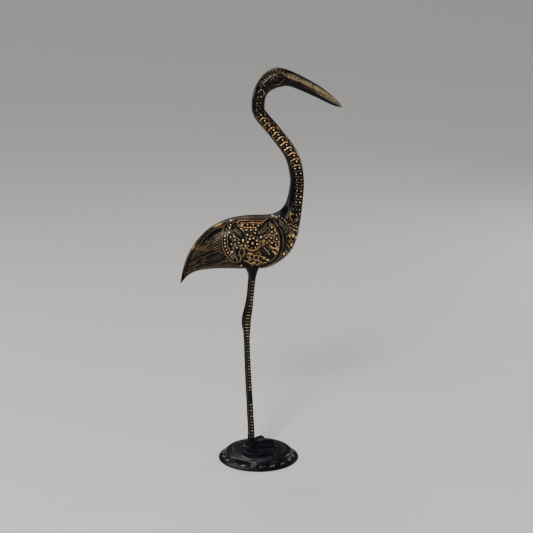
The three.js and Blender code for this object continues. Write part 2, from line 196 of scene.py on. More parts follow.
@dataclass(frozen=True)
class Outline:
    """The bird's plain shape: one closed section at every row, from tail tip to beak tip."""

    rows: Array = field(default_factory=lambda: np.array(BIRD_ROWS))

    def section(self, row: Array) -> Array:
        """Back x and z, belly x and z, and half width, each read at every row."""
        return np.moveaxis(spline(self.rows, row), -1, 0)

    def point(self, row: Array, angle: Array) -> Array:
        """Points of the plain skin.

        Args:
            row: the rows, with fractions.
            angle: degrees round the section, 0 on the back and 90 on the left flank.

        Returns:
            The points, three numbers each.
        """
        back_x, back_z, belly_x, belly_z, half_width = self.section(row)
        turn = np.radians(angle)
        down = (1 - np.cos(turn)) / 2
        x = back_x + (belly_x - back_x) * down
        z = back_z + (belly_z - back_z) * down
        return np.stack([x, half_width * np.sin(turn), z], -1)

    def outward(self, row: Array, angle: Array) -> Array:
        """The directions in which the plain skin faces.

        Args:
            row: the rows of the places.
            angle: their angles round the section.

        Returns:
            The directions, one long.
        """
        row = np.clip(row, 0.02, LAST_ROW - 0.02)
        along = self.point(row + 0.01, angle) - self.point(row - 0.01, angle)
        round_it = self.point(row, angle + 0.5) - self.point(row, angle - 0.5)
        return unit(np.cross(along, round_it))

    def flank(self, side_view: Array) -> tuple[Array, Array]:
        """Finds places on the left flank from the side view, by halving the rows that may hold them.

        Args:
            side_view: x and z of each place.

        Returns:
            The rows and the angles.
        """
        x, z = np.moveaxis(np.asarray(side_view, float), -1, 0)
        low = np.full(x.shape, 0.3)
        high = np.full(x.shape, SEAM_ROW + 1.0)
        for _ in range(40):
            middle = (low + high) / 2
            back_x, back_z, belly_x, belly_z, _ = self.section(middle)
            ahead = (belly_x - back_x) * (z - back_z) - (belly_z - back_z) * (x - back_x) > 0
            low = np.where(ahead, middle, low)
            high = np.where(ahead, high, middle)
        back_x, back_z, belly_x, belly_z, _ = self.section(low)
        span_x, span_z = back_x - belly_x, back_z - belly_z
        share = ((x - belly_x) * span_x + (z - belly_z) * span_z) / (span_x**2 + span_z**2)
        return low, np.degrees(np.arccos(np.clip(2 * share - 1, -1, 1)))

    def row_lengths(self, first: float, last: float, angle: float = 90.0) -> tuple[Array, Array]:
        """How far each row lies along the skin.

        Args:
            first: the row to start from.
            last: the row to end at.
            angle: the line along which it is measured.

        Returns:
            Closely spaced rows, and the distance of each from the first.
        """
        rows = np.linspace(first, last, 2000)
        points = self.point(rows, np.full(rows.shape, angle))
        steps = np.linalg.norm(np.diff(points, axis=0), axis=-1)
        return rows, np.concatenate([[0.0], np.cumsum(steps)])


@dataclass(frozen=True)
class Patch:
    """One piece of the skin, between two rows."""

    name: str
    first_row: float
    last_row: float
    rings: int
    columns: int

    def places(self, outline: Outline) -> tuple[Array, Array]:
        """Spreads the piece's points evenly over its length.

        Args:
            outline: the bird's plain shape.

        Returns:
            The row and the angle of every point, ring after ring.
        """
        rows, back = outline.row_lengths(self.first_row, self.last_row, 0.0)
        belly = outline.row_lengths(self.first_row, self.last_row, 180.0)[1]
        run = back + belly
        spaced = np.interp(np.linspace(0, run[-1], self.rings), run, rows)
        angles = np.linspace(-180.0, 180.0, self.columns, endpoint=False)
        row, angle = np.meshgrid(spaced, angles, indexing="ij")
        return row.ravel(), angle.ravel()


class Skin:
    """All of the bird's skin as points, with the height and the gilding that chasing gives them."""

    BELLY_ROWS: Band = (1.0, 3.0, 8.9, 9.8)
    NECK_ROWS: Band = (11.2, 12.0, 17.5, 18.5)
    BEAK_ROWS: Band = (19.8, 20.6, 23.2, 24.2)
    WORN_HEIGHTS: Pair = (0.1, 0.7)
    BLACK_HEIGHTS: Pair = (-0.1, -0.5)

    def __init__(self, outline: Outline, patches: list[Patch]) -> None:
        """Lays out the points of every patch.

        Args:
            outline: the bird's plain shape.
            patches: the pieces that the skin is made in.
        """
        self.outline = outline
        self.patches = patches
        self.row, signed = np.hstack([patch.places(outline) for patch in patches])
        self.angle = np.abs(signed)
        self.point = outline.point(self.row, signed)
        self.outward = outline.outward(self.row, signed)
        self.x, self.y, self.z = self.point.T
        self.folded = np.stack([self.x, np.abs(self.y), self.z], -1)
        self.height = np.zeros(len(signed))
        self.gilt = np.full(len(signed), PLAIN_GILT)
        self.warmth = np.full(len(signed), PLAIN_WARMTH)
        self.gloss = self.lacquer()
        self.run = np.interp(self.row, *outline.row_lengths(0.0, LAST_ROW))
        self.half_width = np.maximum(outline.section(self.row)[-1], 0.5)

    def lacquer(self) -> Array:
        """How much more lacquer lies on the belly, on top of the beak and along the neck's edges.

        Returns:
            The coat's extra weight at every point.
        """
        further_round = 10 * ramp(self.row, 6.5, 8.0)
        belly = ramp(self.angle + further_round, 152, 163) * plateau(self.row, *self.BELLY_ROWS)
        beak = plateau(self.row, *self.BEAK_ROWS) * ramp(self.angle, 52, 34)
        edges = ramp(self.angle, 28, 16) + ramp(self.angle, 148, 160)
        return belly + 0.2 * beak + 0.4 * edges * plateau(self.row, *self.NECK_ROWS)

    def away(self, centre: Pair) -> Array:
        """How far every point lies from a place of the side view."""
        return np.hypot(self.x - centre[0], self.z - centre[1])

    def near(self, points: Array, reach: float, group: int = 12) -> tuple[Array, Array]:
        """Finds the skin close to a row of points.

        Args:
            points: the points, on the left side of the bird.
            reach: how far away the skin may be.
            group: how many points are looked at together.

        Returns:
            The numbers of the skin's points within reach, on both sides, and their distances.
        """
        best = np.full(len(self.row), np.inf)
        for start in range(0, len(points), group):
            some = points[start : start + group + 1]
            low, high = some.min(0) - reach, some.max(0) + reach
            inside = np.flatnonzero(np.all((self.folded > low) & (self.folded < high), axis=1))
            if len(inside) == 0:
                continue
            gaps = self.folded[inside][:, None, :] - some[None]
            best[inside] = np.minimum(best[inside], np.sqrt((gaps**2).sum(-1)).min(1))
        index = np.flatnonzero(best < reach)
        return index, best[index]

    def outside(self, outline: Array, reach: float) -> tuple[Array, Array]:
        """Measures how far the body's skin lies outside a closed outline of the side view.

        Args:
            outline: x and z of its corners, in order round it.
            reach: how far outside it the skin is measured.

        Returns:
            The numbers of the skin's points, and their distances, below 0 inside the outline.
        """
        low, high = outline.min(0) - reach, outline.max(0) + reach
        inside_box = (self.x > low[0]) & (self.x < high[0]) & (self.z > low[1]) & (self.z < high[1])
        index = np.flatnonzero(inside_box & (self.row < SEAM_ROW))
        seen = np.stack([self.x[index], self.z[index]], -1)[:, None, :]
        start, end = outline[None], np.roll(outline, -1, 0)[None]
        run = end - start
        share = np.clip(((seen - start) * run).sum(-1) / np.maximum((run**2).sum(-1), 1e-9), 0, 1)
        gap = np.linalg.norm(seen - start - run * share[..., None], axis=-1).min(1)
        crosses = (start[..., 1] > seen[..., 1]) != (end[..., 1] > seen[..., 1])
        rise = np.where(run[..., 1] == 0, 1e-9, run[..., 1])
        reached = start[..., 0] + run[..., 0] * (seen[..., 1] - start[..., 1]) / rise
        within = (crosses & (seen[..., 0] < reached)).sum(1) % 2 == 1
        return index, np.where(within, -gap, gap)

    def lift(self, mask: Array, height: Array | float, where: Array | slice = ALL) -> None:
        """Raises the skin by the height, or sinks it, where the mask is 1."""
        self.height[where] += mask * height

    def paint(
        self,
        mask: Array,
        gilt: Array | float,
        warmth: Array | float | None = None,
        where: Array | slice = ALL,
    ) -> None:
        """Leaves some gilding where the mask is 1.

        Args:
            mask: how far each point takes the new values, from 0 to 1.
            gilt: how much gilding is left.
            warmth: the warmth of its gold, where that changes.
            where: the numbers of the points that the mask covers.
        """
        self.gilt[where] += (gilt - self.gilt[where]) * mask
        if warmth is not None:
            self.warmth[where] += (warmth - self.warmth[where]) * mask

    def trench(self, points: Array, half_width: float, depth: float, gilt: float = 0.0) -> None:
        """Cuts a round-bottomed groove along the points.

        Args:
            points: the line of the groove.
            half_width: half its width.
            depth: its depth.
            gilt: how much gilding is left in it.
        """
        index, gap = self.near(points, half_width)
        share = (1 - (gap / half_width) ** 2) ** 1.5
        self.lift(share, -depth, index)
        self.paint(np.minimum(1.0, share * 1.6), gilt, where=index)

    def cup(self, points: Array, radius: float, depth: float) -> None:
        """Sinks a dark ring round each of the points, set off towards its low side, where it shows as a
        painted shadow.

        Args:
            points: the middles of the rings.
            radius: the rings' radius.
            depth: their depth.
        """
        # The black in the hollow is patina. Shifting the ring down and forward shows it as a dark crescent
        # below each bead, and that crescent is a painted shadow.
        index, gap = self.near(points + np.array([0.3, 0.0, -0.4]), radius * 2.0)
        share = bell(gap - radius, radius * 0.42)
        self.lift(share, -depth, index)
        self.paint(0.95 * share, gilt=0.0, where=index)

    def wear(self) -> None:
        """Lets the high points wear to gold and the low ones keep their black."""
        self.gilt += 0.3 * ramp(self.height, *self.WORN_HEIGHTS) * ramp(self.gilt, 0.15, 0.45)
        self.gilt *= 1 - 0.75 * ramp(self.height, *self.BLACK_HEIGHTS)

    def build(self, patch: Patch, finish: Finish) -> Piece:
        """Makes one patch as a closed mesh.

        Args:
            patch: the patch to make.
            finish: its material.

        Returns:
            The finished piece.
        """
        earlier = self.patches[: self.patches.index(patch)]
        start = sum(other.rings * other.columns for other in earlier)
        chosen = slice(start, start + patch.rings * patch.columns)
        points = self.point[chosen] + self.outward[chosen] * self.height[chosen, None]
        values = {"gilt": self.gilt[chosen], "warmth": self.warmth[chosen], "gloss": self.gloss[chosen]}
        return closed_loft(patch.name, points.reshape(patch.rings, patch.columns, 3), values, finish)


def new_mesh(
    name: str, points: Array, edges: list, faces: list, values: dict[str, Array]
) -> bpy.types.Mesh:
    """Makes a mesh from millimetres.

    Args:
        name: its name.
        points: its vertices.
        edges: pairs of vertex numbers, where it has loose edges.
        faces: the vertex numbers of each face.
        values: a number or a vector for every vertex, under each attribute's name.

    Returns:
        The mesh.
    """
    mesh = bpy.data.meshes.new(name)
    mesh.from_pydata((points * MM).tolist(), edges, faces)
    for key, numbers in values.items():
        kind, part = ("FLOAT_VECTOR", "vector") if np.ndim(numbers) == 2 else ("FLOAT", "value")
        attribute = mesh.attributes.new(key, kind, "POINT")
        attribute.data.foreach_set(part, np.asarray(numbers, np.float32).ravel())
    return mesh


def placed(name: str, mesh: bpy.types.Mesh, finish: Finish) -> Piece:
    """Puts a mesh in the scene.

    Args:
        name: the object's name.
        mesh: the mesh.
        finish: its material.

    Returns:
        The new object.
    """
    mesh.materials.clear()
    mesh.materials.append(finish)
    made = bpy.data.objects.new(name, mesh)
    bpy.context.scene.collection.objects.link(made)
    return made


def closed_loft(name: str, rings: Array, values: dict[str, Array], finish: Finish) -> Piece:
    """Makes a closed mesh through rings of points, with a fan over each end.

    Args:
        name: the object's name.
        rings: the points, as rings, points round a ring, and three numbers each.
        values: one number for every point, under each attribute's name.
        finish: the material.

    Returns:
        The new object.
    """
    count, columns = rings.shape[:2]
    points = np.vstack([rings.reshape(-1, 3), rings[0].mean(0), rings[-1].mean(0)])
    here = np.arange(columns)
    after = (here + 1) % columns
    row = (np.arange(count - 1) * columns)[:, None]
    corners = [row + here, row + columns + here, row + columns + after, row + after]
    faces = np.stack(corners, -1).reshape(-1, 4).tolist()
    first, last = count * columns, (count - 1) * columns
    faces += np.stack([np.full(columns, first), here, after], -1).tolist()
    faces += np.stack([np.full(columns, first + 1), last + after, last + here], -1).tolist()
    ended = {
        key: np.concatenate([numbers, [numbers[:columns].mean(), numbers[-columns:].mean()]])
        for key, numbers in values.items()
    }
    mesh = new_mesh(name, points, [], faces, ended)
    mesh.shade_smooth()
    sharpen_ends(mesh, columns, last)
    return placed(name, mesh, finish)


def sharpen_ends(mesh: bpy.types.Mesh, columns: int, last: int) -> None:
    """Marks the two end rings as sharp, so that an end's fan doesn't shade the skin beside it.

    Args:
        mesh: the closed loft.
        columns: how many points a ring has.
        last: the number of the last ring's first point.
    """
    ends = np.empty(len(mesh.edges) * 2, np.int32)
    mesh.edges.foreach_get("vertices", ends)
    low, high = ends.reshape(-1, 2).min(1), ends.reshape(-1, 2).max(1)
    in_first = high < columns
    in_last = (low >= last) & (high < last + columns)
    attribute = mesh.attributes.new("sharp_edge", "BOOLEAN", "EDGE")
    attribute.data.foreach_set("value", in_first | in_last)


def upright(
    name: str,
    heights: Array,
    axis: tuple[Array | float, Array | float],
    reach: tuple[Array, Array],
    columns: int,
    gilt: float,
    finish: Finish,
) -> Piece:
    """Makes a closed upright shaft of round or oval sections.

    Args:
        name: its name.
        heights: the heights of its sections.
        axis: how far forward and how far left each section's middle lies.
        reach: its half depth and half width; the depth is below 0 where the heights run down.
        columns: how many points a section has.
        gilt: its gilding.
        finish: its material.

    Returns:
        The shaft.
    """
    turn = np.linspace(0, 2 * math.pi, columns, endpoint=False)
    x, y, depth, width, z = (
        np.broadcast_to(part, heights.shape)[:, None] for part in (*axis, *reach, heights)
    )
    rings = np.stack(np.broadcast_arrays(x + depth * np.cos(turn), y + width * np.sin(turn), z), -1)
    count = rings.shape[0] * columns
    values = {"gilt": np.full(count, gilt), "warmth": np.full(count, PLAIN_WARMTH)}
    return closed_loft(name, rings, values, finish)


class Tree:
    """A node tree under construction, with short ways to add and join its nodes."""

    def __init__(self, nodes: bpy.types.NodeTree) -> None:
        """Takes the tree to build in, whose named inputs, if any, are set under given later."""
        self.nodes = nodes
        self.given: bpy.types.bpy_prop_collection | None = None

    @classmethod
    def group(cls, name: str, kind: str, takes: dict[str, tuple], gives: dict[str, str]) -> Tree:
        """Starts a node group.

        Args:
            name: its name.
            kind: the type of tree.
            takes: for each named input, its socket type and then its value, if it has one.
            gives: for each named output, its socket type.

        Returns:
            The tree, with its inputs under given.
        """
        made = bpy.data.node_groups.new(name, kind)
        for key, (socket_type, *value) in takes.items():
            socket = made.interface.new_socket(key, in_out="INPUT", socket_type=socket_type)
            if value:
                socket.default_value = value[0]
        for key, socket_type in gives.items():
            made.interface.new_socket(key, in_out="OUTPUT", socket_type=socket_type)
        tree = cls(made)
        tree.given = tree.add("NodeGroupInput").outputs
        return tree

    def add(self, kind: str, inputs: dict | None = None, **settings: object) -> bpy.types.Node:
        """Adds one node.

        Args:
            kind: its type.
            inputs: for each input, by name, number or identifier, a value or a socket to join to it.
            settings: the node's own options.

        Returns:
            The node.
        """
        node = self.nodes.nodes.new(kind)
        for key, value in settings.items():
            setattr(node, key, value)
        self.fill(node, inputs or {})
        return node

    def fill(self, node: bpy.types.Node, inputs: dict) -> None:
        """Sets or joins a node's inputs.

        Args:
            node: the node.
            inputs: for each input, a value or a socket to join to it.
        """
        for key, value in inputs.items():
            socket = self.socket(node.inputs, key)
            if isinstance(value, Socket):
                self.nodes.links.new(value, socket)
            else:
                socket.default_value = value

    @staticmethod
    def socket(sockets: bpy.types.bpy_prop_collection, key: str | int) -> Socket:
        """A node's socket by identifier, name or number."""
        named = [socket for socket in sockets if socket.identifier == key and socket.enabled]
        return named[0] if named else sockets[key]

    def math(self, operation: str, *numbers: Socket | float) -> Socket:
        """The result of one sum on numbers or sockets."""
        return self.add("ShaderNodeMath", dict(enumerate(numbers)), operation=operation).outputs[0]

    def scaled(self, vector: Socket, factor: Socket) -> Socket:
        """A vector or a colour times a number."""
        node = self.add("ShaderNodeVectorMath", {0: vector, "Scale": factor}, operation="SCALE")
        return node.outputs[0]

    def mix(self, share: Socket, first: Socket, second: Socket) -> Socket:
        """Mixes two colours.

        Args:
            share: how much of the second is taken.
            first: the first colour.
            second: the second colour.

        Returns:
            Their mix.
        """
        inputs = {"Factor_Float": share, "A_Color": first, "B_Color": second}
        node = self.add("ShaderNodeMix", inputs, data_type="RGBA", clamp_factor=False)
        return self.socket(node.outputs, "Result_Color")

    def step(self, value: Socket, low: float, high: float, shape: str = "SMOOTHSTEP") -> Socket:
        """A step from 0 at low to 1 at high."""
        limits = {"Value": value, "From Min": low, "From Max": high}
        return self.add("ShaderNodeMapRange", limits, interpolation_type=shape).outputs["Result"]

    def noise(self, vector: Socket, scale: Socket, detail: float) -> Socket:
        """A noise value at the vector."""
        node = self.add("ShaderNodeTexNoise", {"Vector": vector, "Scale": scale, "Detail": detail})
        return self.socket(node.outputs, "Fac")

    def attribute(self, key: str) -> Socket:
        """A material's reading of the mesh's own values."""
        return self.add("ShaderNodeAttribute", attribute_name=key).outputs["Fac"]

    def stored(self, key: str, data_type: str) -> Socket:
        """A geometry tree's reading of the host mesh's own values."""
        return self.add("GeometryNodeInputNamedAttribute", {"Name": key}, data_type=data_type).outputs[0]


FLOAT = "NodeSocketFloat"
WHOLE = "NodeSocketInt"
COLOUR = "NodeSocketColor"
SHAPE = "NodeSocketGeometry"


def bead_tree() -> bpy.types.NodeTree:
    """Sets a flattened round bead on every point, turned and sized by the point's own values.

    Returns:
        The geometry tree.
    """
    takes = {
        "Geometry": (SHAPE,),
        "Facets": (WHOLE, 10),
        "Unevenness": (FLOAT, 0.12),
        "Seed": (WHOLE, 4),
        "Finish": ("NodeSocketMaterial",),
    }
    tree = Tree.group("beads_on_points", "GeometryNodeTree", takes, {"Geometry": SHAPE})
    given = tree.given
    half = tree.math("MULTIPLY", given["Facets"], 0.6)
    ball = tree.add("GeometryNodeMeshUVSphere", {"Segments": given["Facets"], "Rings": half, "Radius": MM})
    axes = {"Primary Axis": tree.stored("outward", "FLOAT_VECTOR")}
    axes["Secondary Axis"] = tree.stored("along", "FLOAT_VECTOR")
    turned = tree.add("FunctionNodeAxesToRotation", axes, primary_axis="Z", secondary_axis="X")
    low = tree.math("SUBTRACT", 1.0, given["Unevenness"])
    limits = {"Min_001": low, "Max_001": 1.0, "Seed": given["Seed"]}
    chance = tree.add("FunctionNodeRandomValue", limits, data_type="FLOAT")
    size = tree.scaled(tree.stored("bead_size", "FLOAT_VECTOR"), Tree.socket(chance.outputs, "Value_001"))
    setting = {
        "Points": given["Geometry"],
        "Instance": ball.outputs["Mesh"],
        "Rotation": turned.outputs[0],
        "Scale": size,
    }
    return finished(tree, tree.add("GeometryNodeInstanceOnPoints", setting).outputs[0])


def cord_tree() -> bpy.types.NodeTree:
    """Turns every line of edges into a round cord of the radius that its points carry.

    Returns:
        The geometry tree.
    """
    takes = {"Geometry": (SHAPE,), "Sides": (WHOLE, 8), "Finish": ("NodeSocketMaterial",)}
    tree = Tree.group("cords_on_lines", "GeometryNodeTree", takes, {"Geometry": SHAPE})
    given = tree.given
    line = tree.add("GeometryNodeMeshToCurve", {"Mesh": given["Geometry"]})
    section = tree.add("GeometryNodeCurvePrimitiveCircle", {"Resolution": given["Sides"], "Radius": MM})
    sweep = {
        "Curve": line.outputs[0],
        "Profile Curve": section.outputs["Curve"],
        "Scale": tree.stored("cord_radius", "FLOAT"),
        "Fill Caps": True,
    }
    return finished(tree, tree.add("GeometryNodeCurveToMesh", sweep).outputs[0])


def finished(tree: Tree, shape: Socket) -> bpy.types.NodeTree:
    """Ends a geometry tree with real mesh, smooth shading and the finish.

    Args:
        tree: the tree.
        shape: what it has made.

    Returns:
        The whole geometry tree.
    """
    real = tree.add("GeometryNodeRealizeInstances", {"Geometry": shape}).outputs[0]
    smooth = tree.add("GeometryNodeSetShadeSmooth", {"Geometry": real}).outputs[0]
    dressed = tree.add("GeometryNodeSetMaterial", {"Geometry": smooth, "Material": tree.given["Finish"]})
    tree.add("NodeGroupOutput", {0: dressed.outputs[0]})
    return tree.nodes


def grown(host: bpy.types.Mesh, tree: bpy.types.NodeTree, finish: Finish) -> Piece:
    """Runs a geometry tree over a host mesh and keeps the result as a plain mesh.

    Args:
        host: the mesh that the tree starts from, which also names the piece.
        tree: the tree.
        finish: the material for its named input.

    Returns:
        The piece, with no modifier left on it.
    """
    made = bpy.data.objects.new(host.name, host)
    bpy.context.scene.collection.objects.link(made)
    modifier = made.modifiers.new("growth", "NODES")
    modifier.node_group = tree
    names = {item.name: item.identifier for item in tree.interface.items_tree if item.in_out == "INPUT"}
    modifier[names["Finish"]] = finish
    graph = bpy.context.evaluated_depsgraph_get()
    mesh = bpy.data.meshes.new_from_object(
        made.evaluated_get(graph), preserve_all_data_layers=True, depsgraph=graph
    )
    made.modifiers.remove(modifier)
    made.data = mesh
    return made


@dataclass(frozen=True)
class Bead:
    """One bead, of half length, half width and height in size."""

    point: Array
    outward: Array
    along: Array
    size: tuple[float, ...]
    gilt: float
    warmth: float

    def mirrored(self) -> Bead:
        """The same bead on the other side of the bird."""
        turned = {key: getattr(self, key) * OTHER_SIDE for key in ("point", "outward", "along")}
        return replace(self, **turned)


@dataclass(frozen=True)
class Cord:
    """One round cord along points, of one radius or of one for each point."""

    points: Array
    radius: Array | float
    gilt: float
    warmth: float

    def mirrored(self) -> Cord:
        """The same cord on the other side of the bird."""
        return replace(self, points=self.points * OTHER_SIDE)


@dataclass
class Trims:
    """Beads and cords set on the metal, kept in lists until they are made."""

    beads: list[Bead] = field(default_factory=list)
    cords: list[Cord] = field(default_factory=list)

    def mirror(self) -> None:
        """Sets every bead and cord on the other side of the bird as well."""
        self.beads += [bead.mirrored() for bead in self.beads]
        self.cords += [cord.mirrored() for cord in self.cords]

    def build_beads(self, name: str, finish: Finish) -> Piece:
        """Makes all of the beads as one piece.

        Args:
            name: the piece's name.
            finish: its material.

        Returns:
            The piece.
        """
        values = {
            key: np.array([getattr(bead, key) for bead in self.beads], float)
            for key in ("point", "outward", "along", "size", "gilt", "warmth")
        }
        points = values.pop("point")
        values["bead_size"] = values.pop("size")
        return grown(new_mesh(name, points, [], [], values), bead_tree(), finish)

    def build_cords(self, name: str, finish: Finish) -> Piece:
        """Makes all of the cords as one piece.

        Args:
            name: the piece's name.
            finish: its material.

        Returns:
            The piece.
        """
        counts = [len(cord.points) for cord in self.cords]
        starts = np.cumsum([0, *counts])
        edges = [[k, k + 1] for start, count in zip(starts, counts) for k in range(start, start + count - 1)]
        values = {
            "cord_radius": np.concatenate([np.broadcast_to(c.radius, len(c.points)) for c in self.cords]),
            "gilt": np.repeat([cord.gilt for cord in self.cords], counts),
            "warmth": np.repeat([cord.warmth for cord in self.cords], counts),
        }
        points = np.vstack([cord.points for cord in self.cords])
        return grown(new_mesh(name, points, edges, [], values), cord_tree(), finish)


@dataclass
class Chasing(ABC):
    """Work on one part of the bird, placed by side view on the body and by row and angle elsewhere."""

    skin: Skin
    trims: Trims
    bed_margin: float = 0.75
    bed_depth: float = 0.22
    bed_gilt: float = 0.04

    @abstractmethod
    def chase(self) -> None:
        """Does the work."""

    def lay(self, places: Array, lift: float = 0.0) -> Array:
        """Gives points a little above the plain skin.

        Args:
            places: the row and the angle of each point.
            lift: its height above the skin.

        Returns:
            The points.
        """
        row, angle = np.moveaxis(np.asarray(places, float), -1, 0)
        outline = self.skin.outline
        return outline.point(row, angle) + outline.outward(row, angle) * lift

    def on_flank(self, side_view: Array) -> Array:
        """The rows and angles of places that are given as x and z of the side view."""
        return np.stack(self.skin.outline.flank(side_view), -1)

    def bead(
        self,
        place: Pair,
        size: tuple[float, ...],
        gilt: float = 1.0,
        warmth: float = 0.3,
        lift: float = 0.0,
        heading: float = 0.0,
    ) -> Array:
        """Sets a bead on the skin.

        Args:
            place: its row and angle.
            size: half its length, half its width, and its height.
            gilt: its gilding.
            warmth: the warmth of its gold.
            lift: the height of its middle above the skin.
            heading: how far its length turns from the row's run towards the belly, in degrees.

        Returns:
            Its middle.
        """
        outline = self.skin.outline
        row, angle = np.array([place], float).T
        outward = outline.outward(row, angle)[0]
        forward = (outline.point(row + 0.02, angle) - outline.point(row - 0.02, angle))[0]
        forward = unit(forward - outward * (forward @ outward))
        turn = math.radians(heading)
        along = forward * math.cos(turn) - np.cross(outward, forward) * math.sin(turn)
        point = self.lay([place], lift)[0]
        self.trims.beads.append(Bead(point, outward, along, size, gilt, warmth))
        return point

    def flank_bead(
        self,
        side_view: Pair,
        size: tuple[float, ...],
        gilt: float = 1.2,
        warmth: float = 0.12,
        heading: float = 0.0,
    ) -> Array:
        """Sets a bead by its x and z in the side view, and gives its middle."""
        return self.bead(self.on_flank([side_view])[0], size, gilt, warmth, heading=heading)

    def cord(
        self,
        places: Array,
        radius: Array | float,
        gilt: float = 0.9,
        warmth: float = 0.4,
        lift: float = 0.1,
    ) -> None:
        """Lays a raised cord along rows and angles, in a shallow dark bed.

        Args:
            places: the row and the angle of each of its points.
            radius: its radius, one or one a point.
            gilt: its gilding.
            warmth: the warmth of its gold.
            lift: the height of its middle above the skin.
        """
        points = self.lay(places, lift)
        self.trims.cords.append(Cord(points, radius, gilt, warmth))
        half_width = float(np.max(radius)) + self.bed_margin
        self.skin.trench(points, half_width, self.bed_depth, self.bed_gilt)

    def flank_cord(self, side_view: Array, radius: Array | float, **finish: float) -> None:
        """Lays a cord whose line is given as x and z of the side view."""
        self.cord(self.on_flank(side_view), radius, **finish)

    def groove(self, places: Array, half_width: float, depth: float, gilt: float = 0.0) -> None:
        """Cuts a groove along rows and angles."""
        self.skin.trench(self.lay(places), half_width, depth, gilt)

    def pits(self, places: Array, radius: float, depth: float) -> None:
        """Punches a round hole at each row and angle."""
        for point in self.lay(places):
            self.skin.trench(point[None], radius, depth)


@dataclass
class BackBand(Chasing):
    """The raised, cross-hatched band from the tail tip to the foot of the neck."""

    rise: float = 0.9
    end_row: float = 8.15
    fade_rows: Pair = (8.6, 10.2)
    hatch_pitch: float = 2.3
    groove_width: float = 0.95
    groove_depth: float = 0.5

    def edge(self) -> Array:
        """How far the band reaches out from the middle of the back, at each point of the skin."""
        half_width = np.interp(self.skin.row, np.arange(len(BAND_HALF_WIDTHS)), BAND_HALF_WIDTHS)
        return np.minimum(half_width, 0.8 * self.skin.half_width)

    def chase(self) -> None:
        """Raises the band, hatches it and cuts the groove along its edge."""
        skin = self.skin
        out = np.abs(skin.y)
        past = out - self.edge()
        upper = (skin.angle < 90) & (skin.row < SEAM_ROW)
        start = np.clip(skin.row / 1.5, 0, 1)
        fade = ramp(skin.row, self.fade_rows[1], self.fade_rows[0])
        band = ramp(past, 0.45, -0.45) * upper
        skin.lift(band * fade * start, self.rise)
        turn = 2 * math.pi / self.hatch_pitch
        hatch = np.sin((skin.run + out) * turn) * np.sin((skin.run - out) * turn)
        shown = band * ramp(skin.row, self.end_row + 0.15, self.end_row - 0.1)
        skin.paint(shown, 0.25 + 0.02 * ramp(skin.row, 5.0, 6.5) + 0.16 * hatch, warmth=0.25)
        skin.lift(shown * ramp(-past, 0.4, 1.2), 0.12 * hatch)
        lines = upper * fade * ramp(skin.row, self.end_row + 0.1, self.end_row - 0.2)
        skin.paint(bell(past + 0.75, 0.42) * lines, gilt=0.32, warmth=0.1)
        groove = bell(past - self.groove_width * 0.6, self.groove_width * 0.5) * lines
        skin.lift(groove * start, -self.groove_depth)
        skin.paint(np.minimum(1, 1.4 * groove), gilt=0.0)
        skin.paint(bell(past - self.groove_width * 1.6, 0.4) * lines, gilt=0.72, warmth=0.6)


